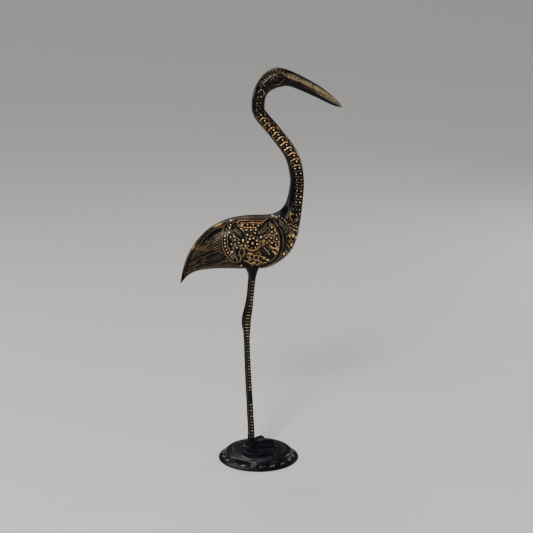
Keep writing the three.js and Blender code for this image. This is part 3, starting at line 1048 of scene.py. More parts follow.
@dataclass
class TailFeathers(Chasing):
    """Long feathers that fan out from the tail tip, each lapped over the one below."""

    border_radius: float = 31.4
    feathers: int = 5
    top_angle: float = 42.0
    low_angle: float = 146.0
    step: float = 0.3
    lines: int = 16
    lap_share: float = 0.86
    tip_rows: Pair = (0.75, 0.45)
    gold_patches: Places = ((-42.7, 276.5), (-67.4, 253.0))
    patch_reach: Pair = (7.0, 3.0)
    veins: tuple[Places, ...] = (
        ((-77.3, 237.7), (-66.5, 245.1), (-55.9, 250.0), (-45.1, 253.7)),
        ((-75.2, 233.1), (-66.5, 239.2), (-57.9, 244.2), (-50.5, 247.4), (-42.9, 248.0)),
        ((-70.5, 231.6), (-63.1, 233.9), (-53.4, 236.9), (-42.7, 240.0)),
    )
    eye_top: Places = ((-61.5, 238.0), (-57.0, 243.4), (-51.0, 247.0), (-45.5, 247.6), (-38.5, 244.4))
    eye_low: Places = ((-38.5, 243.6), (-44.0, 240.8), (-52.0, 238.2))

    def chase(self) -> None:
        """Laps the feathers, draws their fine lines, and paints the tip and the lower edge near black, the
        lower edge as painted shade.
        """
        skin = self.skin
        on_tail = skin.row < 7
        behind = ramp(skin.away(BORDER_CENTRE) - self.border_radius, -0.3, 0.3)
        behind *= (skin.x < BORDER_CENTRE[0]) & on_tail
        edge = np.degrees(np.arcsin(BackBand(skin, self.trims).edge() / skin.half_width))
        top = np.maximum(self.top_angle, edge + 8)
        share = (skin.angle - top) / (self.low_angle - top)
        on_feathers = plateau(share, -0.05, 0.02, 0.97, 1.02) * behind
        place = np.clip(share, 0, 1) * self.feathers
        within = place - np.floor(np.minimum(place, self.feathers - 1e-6))
        lap = np.minimum(within / self.lap_share, 1) * ramp(within, 1.0, 0.9)
        skin.lift(on_feathers, lap * self.step * np.clip(skin.row / 2, 0, 1))
        self.barbs(share, on_feathers)
        for x, z in self.gold_patches:
            spot = bell(skin.x - x, self.patch_reach[0]) * bell(skin.z - z, self.patch_reach[1])
            skin.paint(0.8 * spot * behind, gilt=0.55, warmth=0.7)
        for points in self.veins:
            self.groove(self.on_flank(curve_through(points, 60)), half_width=1.0, depth=0.35, gilt=0.03)
        self.eye()
        # The tip and the strip along the tail's downward-facing lower edge are painted near black. On the
        # lower edge this is painted shade.
        tip = ramp(skin.row, *self.tip_rows) + ramp(share, 0.985, 1.03) * on_tail * (skin.z < 245)
        skin.paint(np.minimum(1, tip), gilt=0.06)

    def barbs(self, share: Array, mask: Array) -> None:
        """Draws the fine lines that run the length of the feathers, plainer above and warmer below.

        Args:
            share: how far every point lies down the fan, from 0 to 1.
            mask: where the feathers are.
        """
        skin = self.skin
        line = np.cos(share * self.lines * 2 * math.pi)
        number = np.floor(share * self.lines)
        skin.lift(mask, 0.09 * line * np.clip(skin.row / 2.2, 0.2, 1))
        low = ramp(share, 0.35, 0.55)
        dash = np.sin(skin.run * (0.52 + 0.05 * np.sin(number * 2.4)) + number * 1.9)
        fleck = np.sin(skin.run * 1.7 + number * 2.6)
        skin.paint(mask, 0.37 + 0.10 * line + 0.04 * dash + 0.05 * fleck * low, 0.25 + 0.15 * low)

    def eye(self) -> None:
        """Draws the long speckled eye among the low feathers."""
        skin = self.skin
        top = curve_through(self.eye_top, 24)
        low = curve_through((self.eye_top[-1], *self.eye_low, self.eye_top[0]), 20)[1:-1]
        index, gap = skin.outside(np.vstack([top, low]), 2.0)
        speckle = np.sin(2.6 * skin.x[index]) * np.sin(2.9 * skin.z[index])
        inner = ramp(gap, -0.3, -0.9)
        rim = bell(gap, 0.55)
        skin.paint(inner, 0.30 + 0.22 * speckle, where=index)
        skin.lift(1.0, 0.12 * inner * speckle - 0.25 * rim, index)
        skin.paint(0.9 * rim, gilt=0.0, where=index)


@dataclass(frozen=True)
class Leaf:
    """One pointed leaf of the medallion, by its two edges in the side view, both from its inner end."""

    upper: Places
    lower: Places
    gilt: float
    ribs: float
    rise: float = 0.9
    rib_pitch: float = 1.45
    rib_height: float = 0.16
    groove_width: float = 0.75
    groove_depth: float = 0.45

    def chase(self, skin: Skin) -> None:
        """Raises the leaf, cuts the groove round it and leaves a gold line outside the groove.

        Args:
            skin: the bird's skin.
        """
        first, second = curve_through(self.upper, 22), curve_through(self.lower, 22)
        index, gap = skin.outside(np.vstack([first, second[::-1][1:-1]]), 3.2)
        start, tip = np.array(self.upper[0]), np.array(self.upper[-1])
        run = (tip - start) / np.hypot(*(tip - start))
        across = (skin.z[index] - start[1]) * run[0] - (skin.x[index] - start[0]) * run[1]
        inside = ramp(gap, -0.1, -0.7)
        dome = 1 - np.exp(np.minimum(gap, 0) / 1.1)
        ribs = np.cos(across * 2 * math.pi / self.rib_pitch)
        skin.lift(inside, self.rise * dome + self.rib_height * ribs, index)
        skin.paint(inside, self.gilt + self.ribs * ribs, warmth=0.05, where=index)
        groove = bell(gap - 0.35, self.groove_width)
        skin.lift(groove, -self.groove_depth, index)
        skin.paint(groove, gilt=0.0, where=index)
        skin.paint(0.8 * bell(gap - 1.9, 0.5), gilt=0.66, where=index)


UPPER_LEFT_LEAF = Leaf(
    upper=((-20.1, 266.6), (-18.9, 269.2), (-20.3, 272.4), (-23.2, 275.5), (-26.6, 278.3), (-30.4, 280.9)),
    lower=((-20.1, 266.6), (-22.7, 266.1), (-26.4, 268.2), (-29.2, 271.8), (-30.4, 275.6), (-30.4, 280.9)),
    gilt=0.36,
    ribs=0.15,
    rise=0.35,
)
UPPER_RIGHT_LEAF = Leaf(
    upper=((-4.4, 267.6), (-3.2, 272.3), (0.0, 275.8), (4.3, 279.2), (9.0, 281.9)),
    lower=((-4.4, 267.6), (1.6, 268.8), (5.8, 271.1), (8.2, 274.4), (9.0, 281.9)),
    gilt=0.42,
    ribs=0.15,
    rise=0.35,
)
LOWER_RIGHT_LEAF = Leaf(
    upper=((-0.8, 252.6), (3.5, 256.0), (7.5, 252.9), (12.2, 248.9), (16.2, 243.4)),
    lower=((-0.8, 252.6), (1.5, 247.3), (5.6, 242.9), (10.3, 240.2), (16.2, 243.4)),
    gilt=0.16,
    ribs=0.05,
    rise=0.5,
)


@dataclass
class Medallion(Chasing):
    """The flower in its ring, three leaves, and the beaded and tangled grounds between them.

    The gilding and the warmth of its quarters are given for the top, the right, the low and the left one.
    """

    centre: Pair = (-9.7, 260.2)
    ring: Pair = (7.4, 9.5)
    petal_count: int = 8
    petal_circle: float = 5.5
    petal_size: Triple = (1.5, 1.25, 1.05)
    first_petal: float = 76.0
    low_petal_scale: float = 0.72
    boss_size: Triple = (1.9, 1.9, 1.3)
    bead_size: Triple = (1.22, 1.12, 1.05)
    small_bead_size: Triple = (0.85, 0.8, 0.7)
    cup_radius: float = 1.75
    notch_pitch: float = 2.9
    border_radius: float = 25.7
    collar_radius: float = 28.0
    top_bearings: Band = (40.0, 60.0, 120.0, 140.0)
    right_bearings: Band = (-45.0, -25.0, 40.0, 60.0)
    low_bearings: Band = (-140.0, -115.0, -45.0, -25.0)
    quarter_gilts: tuple[float, ...] = (0.66, 0.80, 0.46, 0.66)
    quarter_warmths: tuple[float, ...] = (0.85, 0.30, 0.55, -0.12)
    punch_turn: float = 2.9
    leaves: tuple[Leaf, ...] = (UPPER_LEFT_LEAF, UPPER_RIGHT_LEAF, LOWER_RIGHT_LEAF)
    leaf_ribs: tuple[tuple[float, Places], ...] = (
        (1.05, ((2.8, 255.0), (5.1, 252.2), (7.4, 249.5), (9.4, 246.5))),
        (0.62, ((5.2, 256.6), (7.9, 255.8), (10.8, 252.9))),
        (0.48, ((0.3, 252.6), (3.2, 249.2), (5.7, 245.6))),
    )
    top_beads: Places = (
        (-19.3, 279.4), (-14.0, 279.6), (-7.6, 279.4), (-2.1, 278.4), (-15.8, 274.4), (-10.8, 274.4),
        (-5.3, 274.3), (-6.6, 271.0),
    )
    left_beads: Places = (
        (-34.3, 271.6), (-33.4, 267.1), (-28.9, 264.0), (-24.7, 261.0), (-32.7, 259.5), (-27.0, 255.5),
    )
    right_beads: Places = (
        (12.8, 276.0), (12.4, 271.4), (17.4, 269.4), (5.8, 265.5), (11.3, 265.2), (17.4, 264.0),
        (6.4, 260.0), (12.1, 259.8), (16.3, 257.5),
    )
    small_beads: Places = (
        (-36.3, 262.1), (-28.7, 278.4), (9.1, 275.2), (7.2, 271.3), (8.3, 251.2), (-34.6, 254.4),
    )
    holes: Places = (
        (-10.3, 244.3), (-5.2, 243.0), (-0.7, 241.4), (3.2, 238.6), (-9.1, 238.5), (-13.9, 235.1),
        (-6.0, 234.5), (-16.4, 241.4), (-2.5, 236.6),
    )
    net: tuple[Places, ...] = (
        ((-15.0, 249.2), (-9.1, 246.4), (-3.7, 245.6), (1.4, 243.9), (6.6, 240.2)),
        ((-15.7, 245.4), (-12.2, 242.0), (-7.3, 240.9), (-2.6, 239.4), (1.5, 236.4), (6.6, 236.8)),
        ((-18.8, 240.2), (-14.4, 238.2), (-11.2, 235.9), (-7.4, 236.6), (-3.8, 233.6)),
        ((-9.2, 232.9), (-7.0, 237.7), (-5.8, 240.6)), ((-15.2, 237.9), (-12.6, 241.4), (-12.6, 246.6)),
        ((-3.1, 233.4), (-0.9, 236.8), (-0.2, 239.2)), ((-7.9, 246.0), (-7.7, 242.6)),
        ((-2.6, 245.2), (-2.9, 240.4)),
    )
    blobs: tuple[Triple, ...] = (
        (-33.4, 276.6, 1.5), (-32.5, 279.2, 0.9), (-31.4, 273.4, 0.9), (-24.5, 281.4, 1.1),
        (-20.9, 278.8, 1.0), (-17.6, 257.6, 1.3), (3.5, 242.8, 1.8), (7.9, 239.7, 1.7), (-13.9, 248.8, 1.5),
        (-11.2, 248.3, 1.1), (-1.7, 256.1, 1.0), (-21.1, 233.2, 1.6),
    )
    long_beads: tuple[tuple[float, float, float, float], ...] = (
        (-20.2, 263.3, 84.0, 2.3), (-0.1, 266.6, -52.0, 1.9), (-15.3, 269.6, 12.0, 1.7),
    )
    top_lines: tuple[tuple[float, Places], ...] = (
        (
            0.42,
            (
                (-25.3, 282.4), (-21.9, 283.1), (-17.1, 283.4), (-10.9, 283.4), (-4.1, 283.4), (2.9, 283.0),
                (7.0, 282.9),
            ),
        ),
        (0.50, ((-22.0, 281.4), (-19.7, 280.8), (-16.3, 281.2))),
        (0.50, ((-13.8, 281.5), (-7.2, 281.3), (-3.3, 280.9), (0.8, 280.6), (4.2, 281.6))),
        (
            0.62,
            ((-22.7, 278.0), (-19.4, 277.3), (-15.5, 276.8), (-12.0, 276.9), (-8.5, 277.0), (-4.5, 276.0)),
        ),
    )
    dash_reach: float = 1.3
    top_dashes: Places = ((-19.1, 282.1), (-14.9, 282.6), (-10.6, 282.3), (-4.4, 282.1), (0.5, 281.8))
    scrolls: tuple[tuple[float, Places], ...] = (
        (
            0.0,
            (
                (-31.1, 250.8), (-29.5, 249.7), (-29.2, 247.4), (-28.9, 245.1), (-27.3, 243.4),
                (-26.3, 240.8), (-26.7, 236.6),
            ),
        ),
        (0.9, ((-20.9, 255.2), (-19.3, 254.3), (-18.6, 252.8))),
        (0.1, ((-18.6, 252.8), (-18.8, 250.3), (-19.3, 247.0), (-20.6, 244.2))),
        (0.0, ((-23.5, 252.0), (-24.4, 248.9), (-23.4, 246.3), (-22.3, 245.0), (-21.4, 246.9))),
        (0.1, ((-33.6, 249.2), (-34.0, 246.4), (-31.4, 243.6), (-30.2, 240.6))),
        (0.0, ((-22.3, 244.6), (-22.6, 240.6), (-24.4, 237.6))),
    )
    scroll_knot: Pair = (-32.0, 250.6)
    scroll_holes: Places = (
        (-26.4, 250.4), (-34.0, 252.6), (-32.2, 246.6), (-33.4, 241.4), (-24.0, 242.2), (-20.4, 240.1),
        (-17.0, 245.6), (-15.9, 250.4), (-21.2, 249.8),
    )
    curls: tuple[Places, ...] = (
        ((9.8, 256.2), (10.8, 255.3), (12.3, 254.2), (14.3, 253.7), (16.3, 253.2), (17.9, 251.3)),
        ((11.9, 249.9), (14.1, 249.5), (16.2, 247.9), (15.2, 246.2)),
        ((16.6, 255.6), (18.7, 253.6), (19.0, 250.6)),
    )
    curl_gaps: Places = (
        (13.9, 256.0), (15.3, 251.6), (17.6, 258.4), (12.9, 247.4), (10.4, 252.6), (17.6, 248.4),
    )

    def chase(self) -> None:
        """Works the whole medallion."""
        self.ground()
        for leaf in self.leaves:
            leaf.chase(self.skin)
        for gilt, points in self.leaf_ribs:
            self.flank_cord(curve_through(points, 14), radius=0.38, gilt=gilt, warmth=0.2, lift=0.45)
        self.flower()
        self.beaded_grounds()
        self.low_quarter()
        self.pits(self.on_flank(self.scroll_holes + self.curl_gaps), radius=1.8, depth=0.7)
        for warmth, points in self.scrolls:
            fullness = 0.5 + 0.5 * np.sin(np.linspace(0.5, math.pi, 22))
            gilt = 0.66 + 0.3 * warmth
            self.flank_cord(curve_through(points, 22), fullness * 0.85, gilt=gilt, warmth=warmth)
        self.flank_bead(self.scroll_knot, (1.9, 1.4, 1.1), gilt=1.15, warmth=0.1)
        for points in self.curls:
            self.flank_cord(curve_through(points, 14), radius=0.75, gilt=1.08, warmth=0.4)

    def ground(self) -> None:
        """Lowers the ground inside the border and the collar, and gilds its four quarters."""
        skin = self.skin
        rim = self.border_radius
        behind = np.where(skin.x < BORDER_CENTRE[0], ramp(skin.away(BORDER_CENTRE), rim, rim - 0.8), 1.0)
        mask = behind * ramp(skin.away(COLLAR_CENTRE), self.collar_radius, self.collar_radius - 1.0)
        mask *= (skin.row < SEAM_ROW) * plateau(skin.angle, 24, 28, 152, 158)
        across, up = skin.x - self.centre[0], skin.z - self.centre[1]
        bearing = np.degrees(np.arctan2(up, across))
        top = plateau(bearing, *self.top_bearings)
        right = plateau(bearing, *self.right_bearings)
        low = plateau(bearing, *self.low_bearings)
        left = np.clip(1 - top - right - low, 0, 1)
        punch = np.sin(self.punch_turn * (0.8 * across + 0.6 * up))
        punch *= np.sin(self.punch_turn * (0.8 * up - 0.6 * across))
        bent_across = 1.3 * across + 1.1 * np.sin(0.9 * up)
        bent_up = 1.5 * up + 1.3 * np.sin(1.1 * across)
        mottle = np.sin(bent_across) * np.sin(bent_up)
        tangle = left * ramp(skin.z, 256, 251)
        quarters = np.stack([top, right, low, left])
        gilt = np.tensordot(self.quarter_gilts, quarters, 1) - 0.30 * tangle
        warmth = np.tensordot(self.quarter_warmths, quarters, 1)
        skin.lift(mask, -0.12 + 0.07 * punch + 0.08 * mottle)
        spread = 0.14 + 0.12 * (top + low)
        skin.paint(mask, gilt + 0.10 * punch + spread * mottle, warmth)

    def flower(self) -> None:
        """Sets the boss, its petals and their flat ring, with painted shadow in the groove below the ring.
        """
        skin = self.skin
        away = skin.away(self.centre)
        on_body = skin.row < SEAM_ROW
        inner, outer = self.ring
        well = ramp(away, inner + 0.2, inner - 0.7) * on_body
        skin.lift(well, height=-0.35)
        skin.paint(well, gilt=0.08, warmth=0.3)
        band = plateau(away, inner - 0.4, inner + 0.4, outer - 0.4, outer + 0.4) * on_body
        skin.lift(band, height=0.35)
        bearing = np.arctan2(skin.z - self.centre[1], skin.x - self.centre[0])
        worn = 0.08 * np.sin(7 * bearing + 1.0) + 0.10 * np.sin(17 * bearing) - 0.10 * np.sin(bearing + 0.7)
        skin.paint(band, 0.60 + worn, 0.45 - 0.35 * np.sin(bearing - 0.6))
        groove = bell(away - outer - 0.6, 0.55) * on_body
        skin.lift(groove, height=-0.3)
        # The groove round the ring is painted darker below the flower's middle, as painted shadow under the
        # raised ring.
        skin.paint(groove * (0.35 + 0.65 * ramp(skin.z, self.centre[1] + 2, self.centre[1] - 5)), gilt=0.0)
        self.flank_bead(self.centre, self.boss_size, gilt=0.95, warmth=0.75)
        for k in range(self.petal_count):
            degrees = 360 * k / self.petal_count + self.first_petal
            place = arc(self.centre, self.petal_circle, degrees, degrees, 1)[0]
            low = math.sin(math.radians(degrees)) < -0.5
            size = tuple(part * (self.low_petal_scale if low else 1.0) for part in self.petal_size)
            self.flank_bead(place, size, gilt=0.95 if low else 1.2, heading=-degrees)

    def beaded_grounds(self) -> None:
        """Sets the beads of the upper three quarters, and the notched lines over them."""
        skin = self.skin
        places = self.top_beads + self.left_beads + self.right_beads
        middles = [self.flank_bead(place, self.bead_size) for place in places]
        skin.cup(np.array(middles), self.cup_radius, depth=0.4)
        for place in self.small_beads:
            skin.cup(self.flank_bead(place, self.small_bead_size, gilt=0.7)[None], radius=1.3, depth=0.25)
        for x, z, degrees, half_length in self.long_beads:
            middle = self.flank_bead((x, z), (half_length, 1.2, 1.05), heading=-degrees)
            skin.cup(middle[None], self.cup_radius + 0.3, depth=0.35)
        for radius, points in self.top_lines:
            line = curve_through(points, 40)
            notches = np.cos(np.linalg.norm(line - line[0], axis=1) * 2 * math.pi / self.notch_pitch)
            self.flank_cord(line, radius * (0.72 + 0.34 * notches), gilt=0.98, warmth=0.6)
        for x, z in self.top_dashes:
            dash = np.linspace((x - self.dash_reach, z), (x + self.dash_reach, z), 6)
            self.groove(self.on_flank(dash), half_width=0.9, depth=0.5)

    def low_quarter(self) -> None:
        """Works the low quarter's net, its holes and its gold blobs."""
        self.pits(self.on_flank(self.holes), radius=1.9, depth=0.8)
        for points in self.net:
            self.flank_cord(curve_through(points, 18), radius=0.52, gilt=0.88, warmth=0.35)
        for x, z, radius in self.blobs:
            self.flank_bead((x, z), (radius, radius * 0.8, 0.8), gilt=1.0, warmth=0.7, heading=25)


@dataclass
class BorderAndCollar(Chasing):
    """The beaded channel behind the medallion and the grooved collar in front of it."""

    inner: float = 25.2
    outer: float = 30.8
    channel_depth: float = 0.45
    cord_radius: float = 0.48
    bead_pitch: float = 3.6
    bead_size: Triple = (1.15, 1.15, 1.0)
    bead_bearings: Pair = (147.0, 224.0)
    bright_angles: Pair = (52.0, 102.0)
    cord_bearings: Pair = (135.0, 236.0)
    hollow: Places = (
        (10.7, 283.6), (13.1, 281.9), (16.0, 279.1), (18.9, 275.0), (21.4, 270.0), (22.6, 264.2),
        (22.7, 258.7), (22.2, 253.0), (20.7, 247.7), (17.7, 242.5), (13.3, 238.0), (7.4, 234.4),
        (1.2, 231.4),
    )
    ridge: Places = (
        (15.0, 285.6), (17.1, 282.2), (19.8, 277.6), (22.3, 273.0), (24.3, 268.1), (25.0, 262.0),
        (24.9, 255.1), (23.6, 247.9), (20.9, 241.3), (16.4, 235.7), (10.2, 231.9), (2.4, 229.2),
    )
    front_groove: Places = (
        (17.7, 284.4), (20.5, 280.3), (23.5, 274.9), (25.8, 269.1), (26.8, 262.9), (26.8, 254.7),
        (25.4, 246.9), (22.4, 239.6), (17.8, 234.0),
    )

    def chase(self) -> None:
        """Sinks the channel, lays its two cords and beads, and cuts the collar."""
        skin = self.skin
        away = skin.away(BORDER_CENTRE)
        channel = plateau(away, self.inner, self.inner + 0.7, self.outer - 0.7, self.outer)
        channel *= (skin.x < BORDER_CENTRE[0] - 4) * (skin.row < 8) * plateau(skin.angle, 22, 26, 148, 152)
        skin.lift(channel, -self.channel_depth)
        skin.paint(channel, gilt=0.02, warmth=0.2)
        for radius in (self.inner, self.outer):
            line = self.clipped(arc(BORDER_CENTRE, radius, *self.cord_bearings, 60), 24, 146)
            self.cord(line, self.cord_radius, gilt=0.78, warmth=0.35, lift=0.2)
        middle = (self.inner + self.outer) / 2
        first, last = self.bead_bearings
        steps = int(math.radians(last - first) * middle / self.bead_pitch) + 1
        for row, angle in self.clipped(arc(BORDER_CENTRE, middle, first, last, steps), 27, 138):
            gilt = 1.2 if self.bright_angles[0] < angle < self.bright_angles[1] else 0.75
            self.bead((row, angle), self.bead_size, gilt, warmth=0.0, lift=-0.3)
        self.collar()

    def collar(self) -> None:
        """Cuts the collar's wide hollow and narrow groove, and lays its ridge and the line behind it."""
        self.groove(self.on_flank(curve_through(self.hollow, 100)), half_width=1.9, depth=0.8)
        self.groove(self.on_flank(curve_through(self.front_groove, 80)), half_width=1.35, depth=0.6)
        ridge = self.lay(self.on_flank(curve_through(self.ridge, 100)))
        self.trims.cords.append(Cord(ridge, radius=0.75, gilt=0.5, warmth=0.3))
        behind = tuple((x - 2.1, z - 0.5) for x, z in self.hollow[2:-2])
        rim = self.lay(self.on_flank(curve_through(behind, 80)), -0.1)
        self.trims.cords.append(Cord(rim, radius=0.42, gilt=0.7, warmth=0.5))

    def clipped(self, side_view: Array, top: float, low: float) -> Array:
        """The rows and angles of a line, kept to between two angles round the section."""
        places = self.on_flank(side_view)
        return places[(places[:, 1] > top) & (places[:, 1] < low)]


@dataclass
class Breast(Chasing):
    """The strip in front of the collar, with its bosses, and the beaded foot of the neck."""

    collar_line: Places = (
        (8.35, 12), (8.95, 27), (9.39, 51), (9.53, 61), (9.68, 72), (9.87, 84), (10.15, 102), (10.5, 128),
        (10.64, 151), (10.7, 180),
    )
    collar_radius: float = 32.4
    bosses: tuple[tuple[float, float, float, float], ...] = (
        (37.0, 265.2, 2.4, 0.2), (41.0, 261.8, 2.0, 0.4), (35.1, 255.0, 2.3, 0.8), (31.7, 251.8, 1.2, 0.4),
        (37.3, 249.2, 1.1, 0.3), (26.7, 244.9, 2.0, 0.8), (23.6, 241.9, 1.3, 0.7), (38.4, 258.6, 1.0, 0.6),
        (31.0, 246.2, 1.1, 0.6),
    )
    large_boss: float = 1.9
    strokes: tuple[Places, ...] = (
        ((31.2, 265.4), (33.4, 268.6), (36.2, 270.6)), ((32.4, 263.6), (34.6, 267.2), (37.4, 269.4)),
        ((32.0, 261.4), (32.6, 258.2), (35.0, 257.9)), ((34.0, 262.4), (34.6, 259.8), (36.6, 259.4)),
        ((29.6, 256.6), (31.0, 254.0), (32.8, 252.6)), ((28.0, 249.8), (29.6, 247.6), (30.0, 244.6)),
        ((33.4, 250.4), (35.0, 247.8), (34.6, 245.0)), ((25.6, 248.2), (27.6, 246.4)),
    )
    foot_beads: tuple[float, ...] = (27, 39, 51, 61, 72)
    foot_bead_size: Triple = (0.85, 0.85, 0.8)
    foot_strokes: Triple = (80, 165, 6.5)
    foot_stroke_size: Triple = (1.25, 0.42, 0.6)
    cell_beads: tuple[Triple, ...] = (
        (10.58, 63, 1.25), (10.80, 76, 1.3), (11.08, 99, 1.3), (11.12, 71, 0.9), (11.34, 93, 0.95),
        (11.52, 118, 1.0), (11.36, 125, 1.0), (10.28, 75, 1.0), (10.05, 71, 0.8), (10.50, 108, 0.9),
        (10.95, 116, 0.9),
    )
    cell_strokes: tuple[Places, ...] = (
        ((9.75, 55), (10.03, 56), (10.34, 59), (10.72, 61)), ((10.34, 90), (10.58, 95), (10.80, 99)),
        ((10.10, 66), (10.42, 68), (10.66, 70)), ((10.62, 104), (10.86, 108), (11.10, 110)),
        ((10.18, 92), (10.20, 84), (10.42, 80)),
    )
    cell_holes: Places = (
        (10.48, 70), (11.22, 98), (10.06, 62), (10.62, 88), (11.26, 110), (11.36, 78), (10.86, 66),
    )

    def line_row(self, angle: Array | float) -> Array | float:
        """The row of the beaded line between breast and neck, at an angle round the section."""
        rows, angles = zip(*self.collar_line)
        return np.interp(angle, angles, rows)

    def chase(self) -> None:
        """Works the strip, its bosses and strokes, and the foot of the neck."""
        skin = self.skin
        past_collar = ramp(skin.away(COLLAR_CENTRE) - self.collar_radius, 0, 0.6)
        past_collar *= skin.x > COLLAR_CENTRE[0]
        below_line = ramp(skin.row - self.line_row(skin.angle), 0.02, -0.06) * (skin.row > 6)
        strip = past_collar * below_line * ramp(skin.angle, 178, 168)
        low = ramp(skin.z, 270, 262)
        streak = np.sin(1.5 * (skin.x - 0.55 * skin.z))
        bent_x = 1.4 * skin.x + 1.2 * np.sin(1.1 * skin.z)
        bent_z = 1.3 * skin.z + 1.3 * np.sin(1.2 * skin.x)
        mottle = np.sin(bent_x) * np.sin(bent_z)
        gilt = 0.44 + (0.06 * streak + 0.1 * mottle) * (1 - low) + low * (0.30 * mottle - 0.14)
        skin.paint(strip, gilt, 0.6 * low - 0.1)
        skin.lift(strip, 0.03 * streak + 0.14 * mottle * low)
        skin.paint(strip * ramp(skin.angle, 118, 150), 0.34 + 0.16 * mottle, warmth=0.4)
        for x, z, radius, warmth in self.bosses:
            size = (radius, radius * 0.8, radius * 0.6)
            gilt = 0.62 if radius < self.large_boss else 1.12
            middle = self.flank_bead((x, z), size, gilt, warmth, heading=30)
            skin.cup(middle[None], radius * 1.3, depth=0.45)
        for points in self.strokes:
            self.flank_cord(curve_through(points, 12), radius=0.5, gilt=0.8, warmth=0.35)
        self.neck_foot()
        self.cells()

    def neck_foot(self) -> None:
        """Cuts the line round the foot of the neck and sets its beads and slanting strokes."""
        self.groove(curve_through(self.collar_line, 80), half_width=1.7, depth=0.35)
        for angle in self.foot_beads:
            middle = self.bead((self.line_row(angle), angle), self.foot_bead_size, gilt=1.15, warmth=0.0)
            self.skin.cup(middle[None], radius=1.4, depth=0.35)
        for k, angle in enumerate(np.arange(*self.foot_strokes)):
            heading = 62 + 20 * math.sin(1.7 * k)
            for side in (-1, 1):
                place = (self.line_row(angle) + 0.12 * side, angle)
                gilt = 0.88 + 0.26 * math.sin(2.3 * k + side)
                self.bead(place, self.foot_stroke_size, gilt, 0.1 + 0.2 * side, heading=heading)

    def cells(self) -> None:
        """Works the beads, strokes and holes between the beaded line and the neck's ladder."""
        skin = self.skin
        ground = ramp(skin.row - self.line_row(skin.angle), 0.08, 0.18)
        ground *= ramp(skin.row, 11.75, 11.55) * plateau(skin.angle, 54, 58, 150, 160)
        skin.paint(ground, gilt=0.16, warmth=0.3)
        for points in self.cell_strokes:
            self.cord(curve_through(points, 10), radius=0.4, gilt=0.7, warmth=0.4)
        for row, angle, radius in self.cell_beads:
            middle = self.bead((row, angle), (radius * 0.85, radius * 0.7, 0.8), gilt=0.95, warmth=0.2)
            skin.cup(middle[None], radius * 1.35, depth=0.45)
        self.pits(self.cell_holes, radius=1.4, depth=0.6)


class Tread(Enum):
    """What fills the space above a rung of the neck's ladder, with that space's height."""

    BEADS = 6.4
    HOOK = 7.2
    FLECK = 7.0


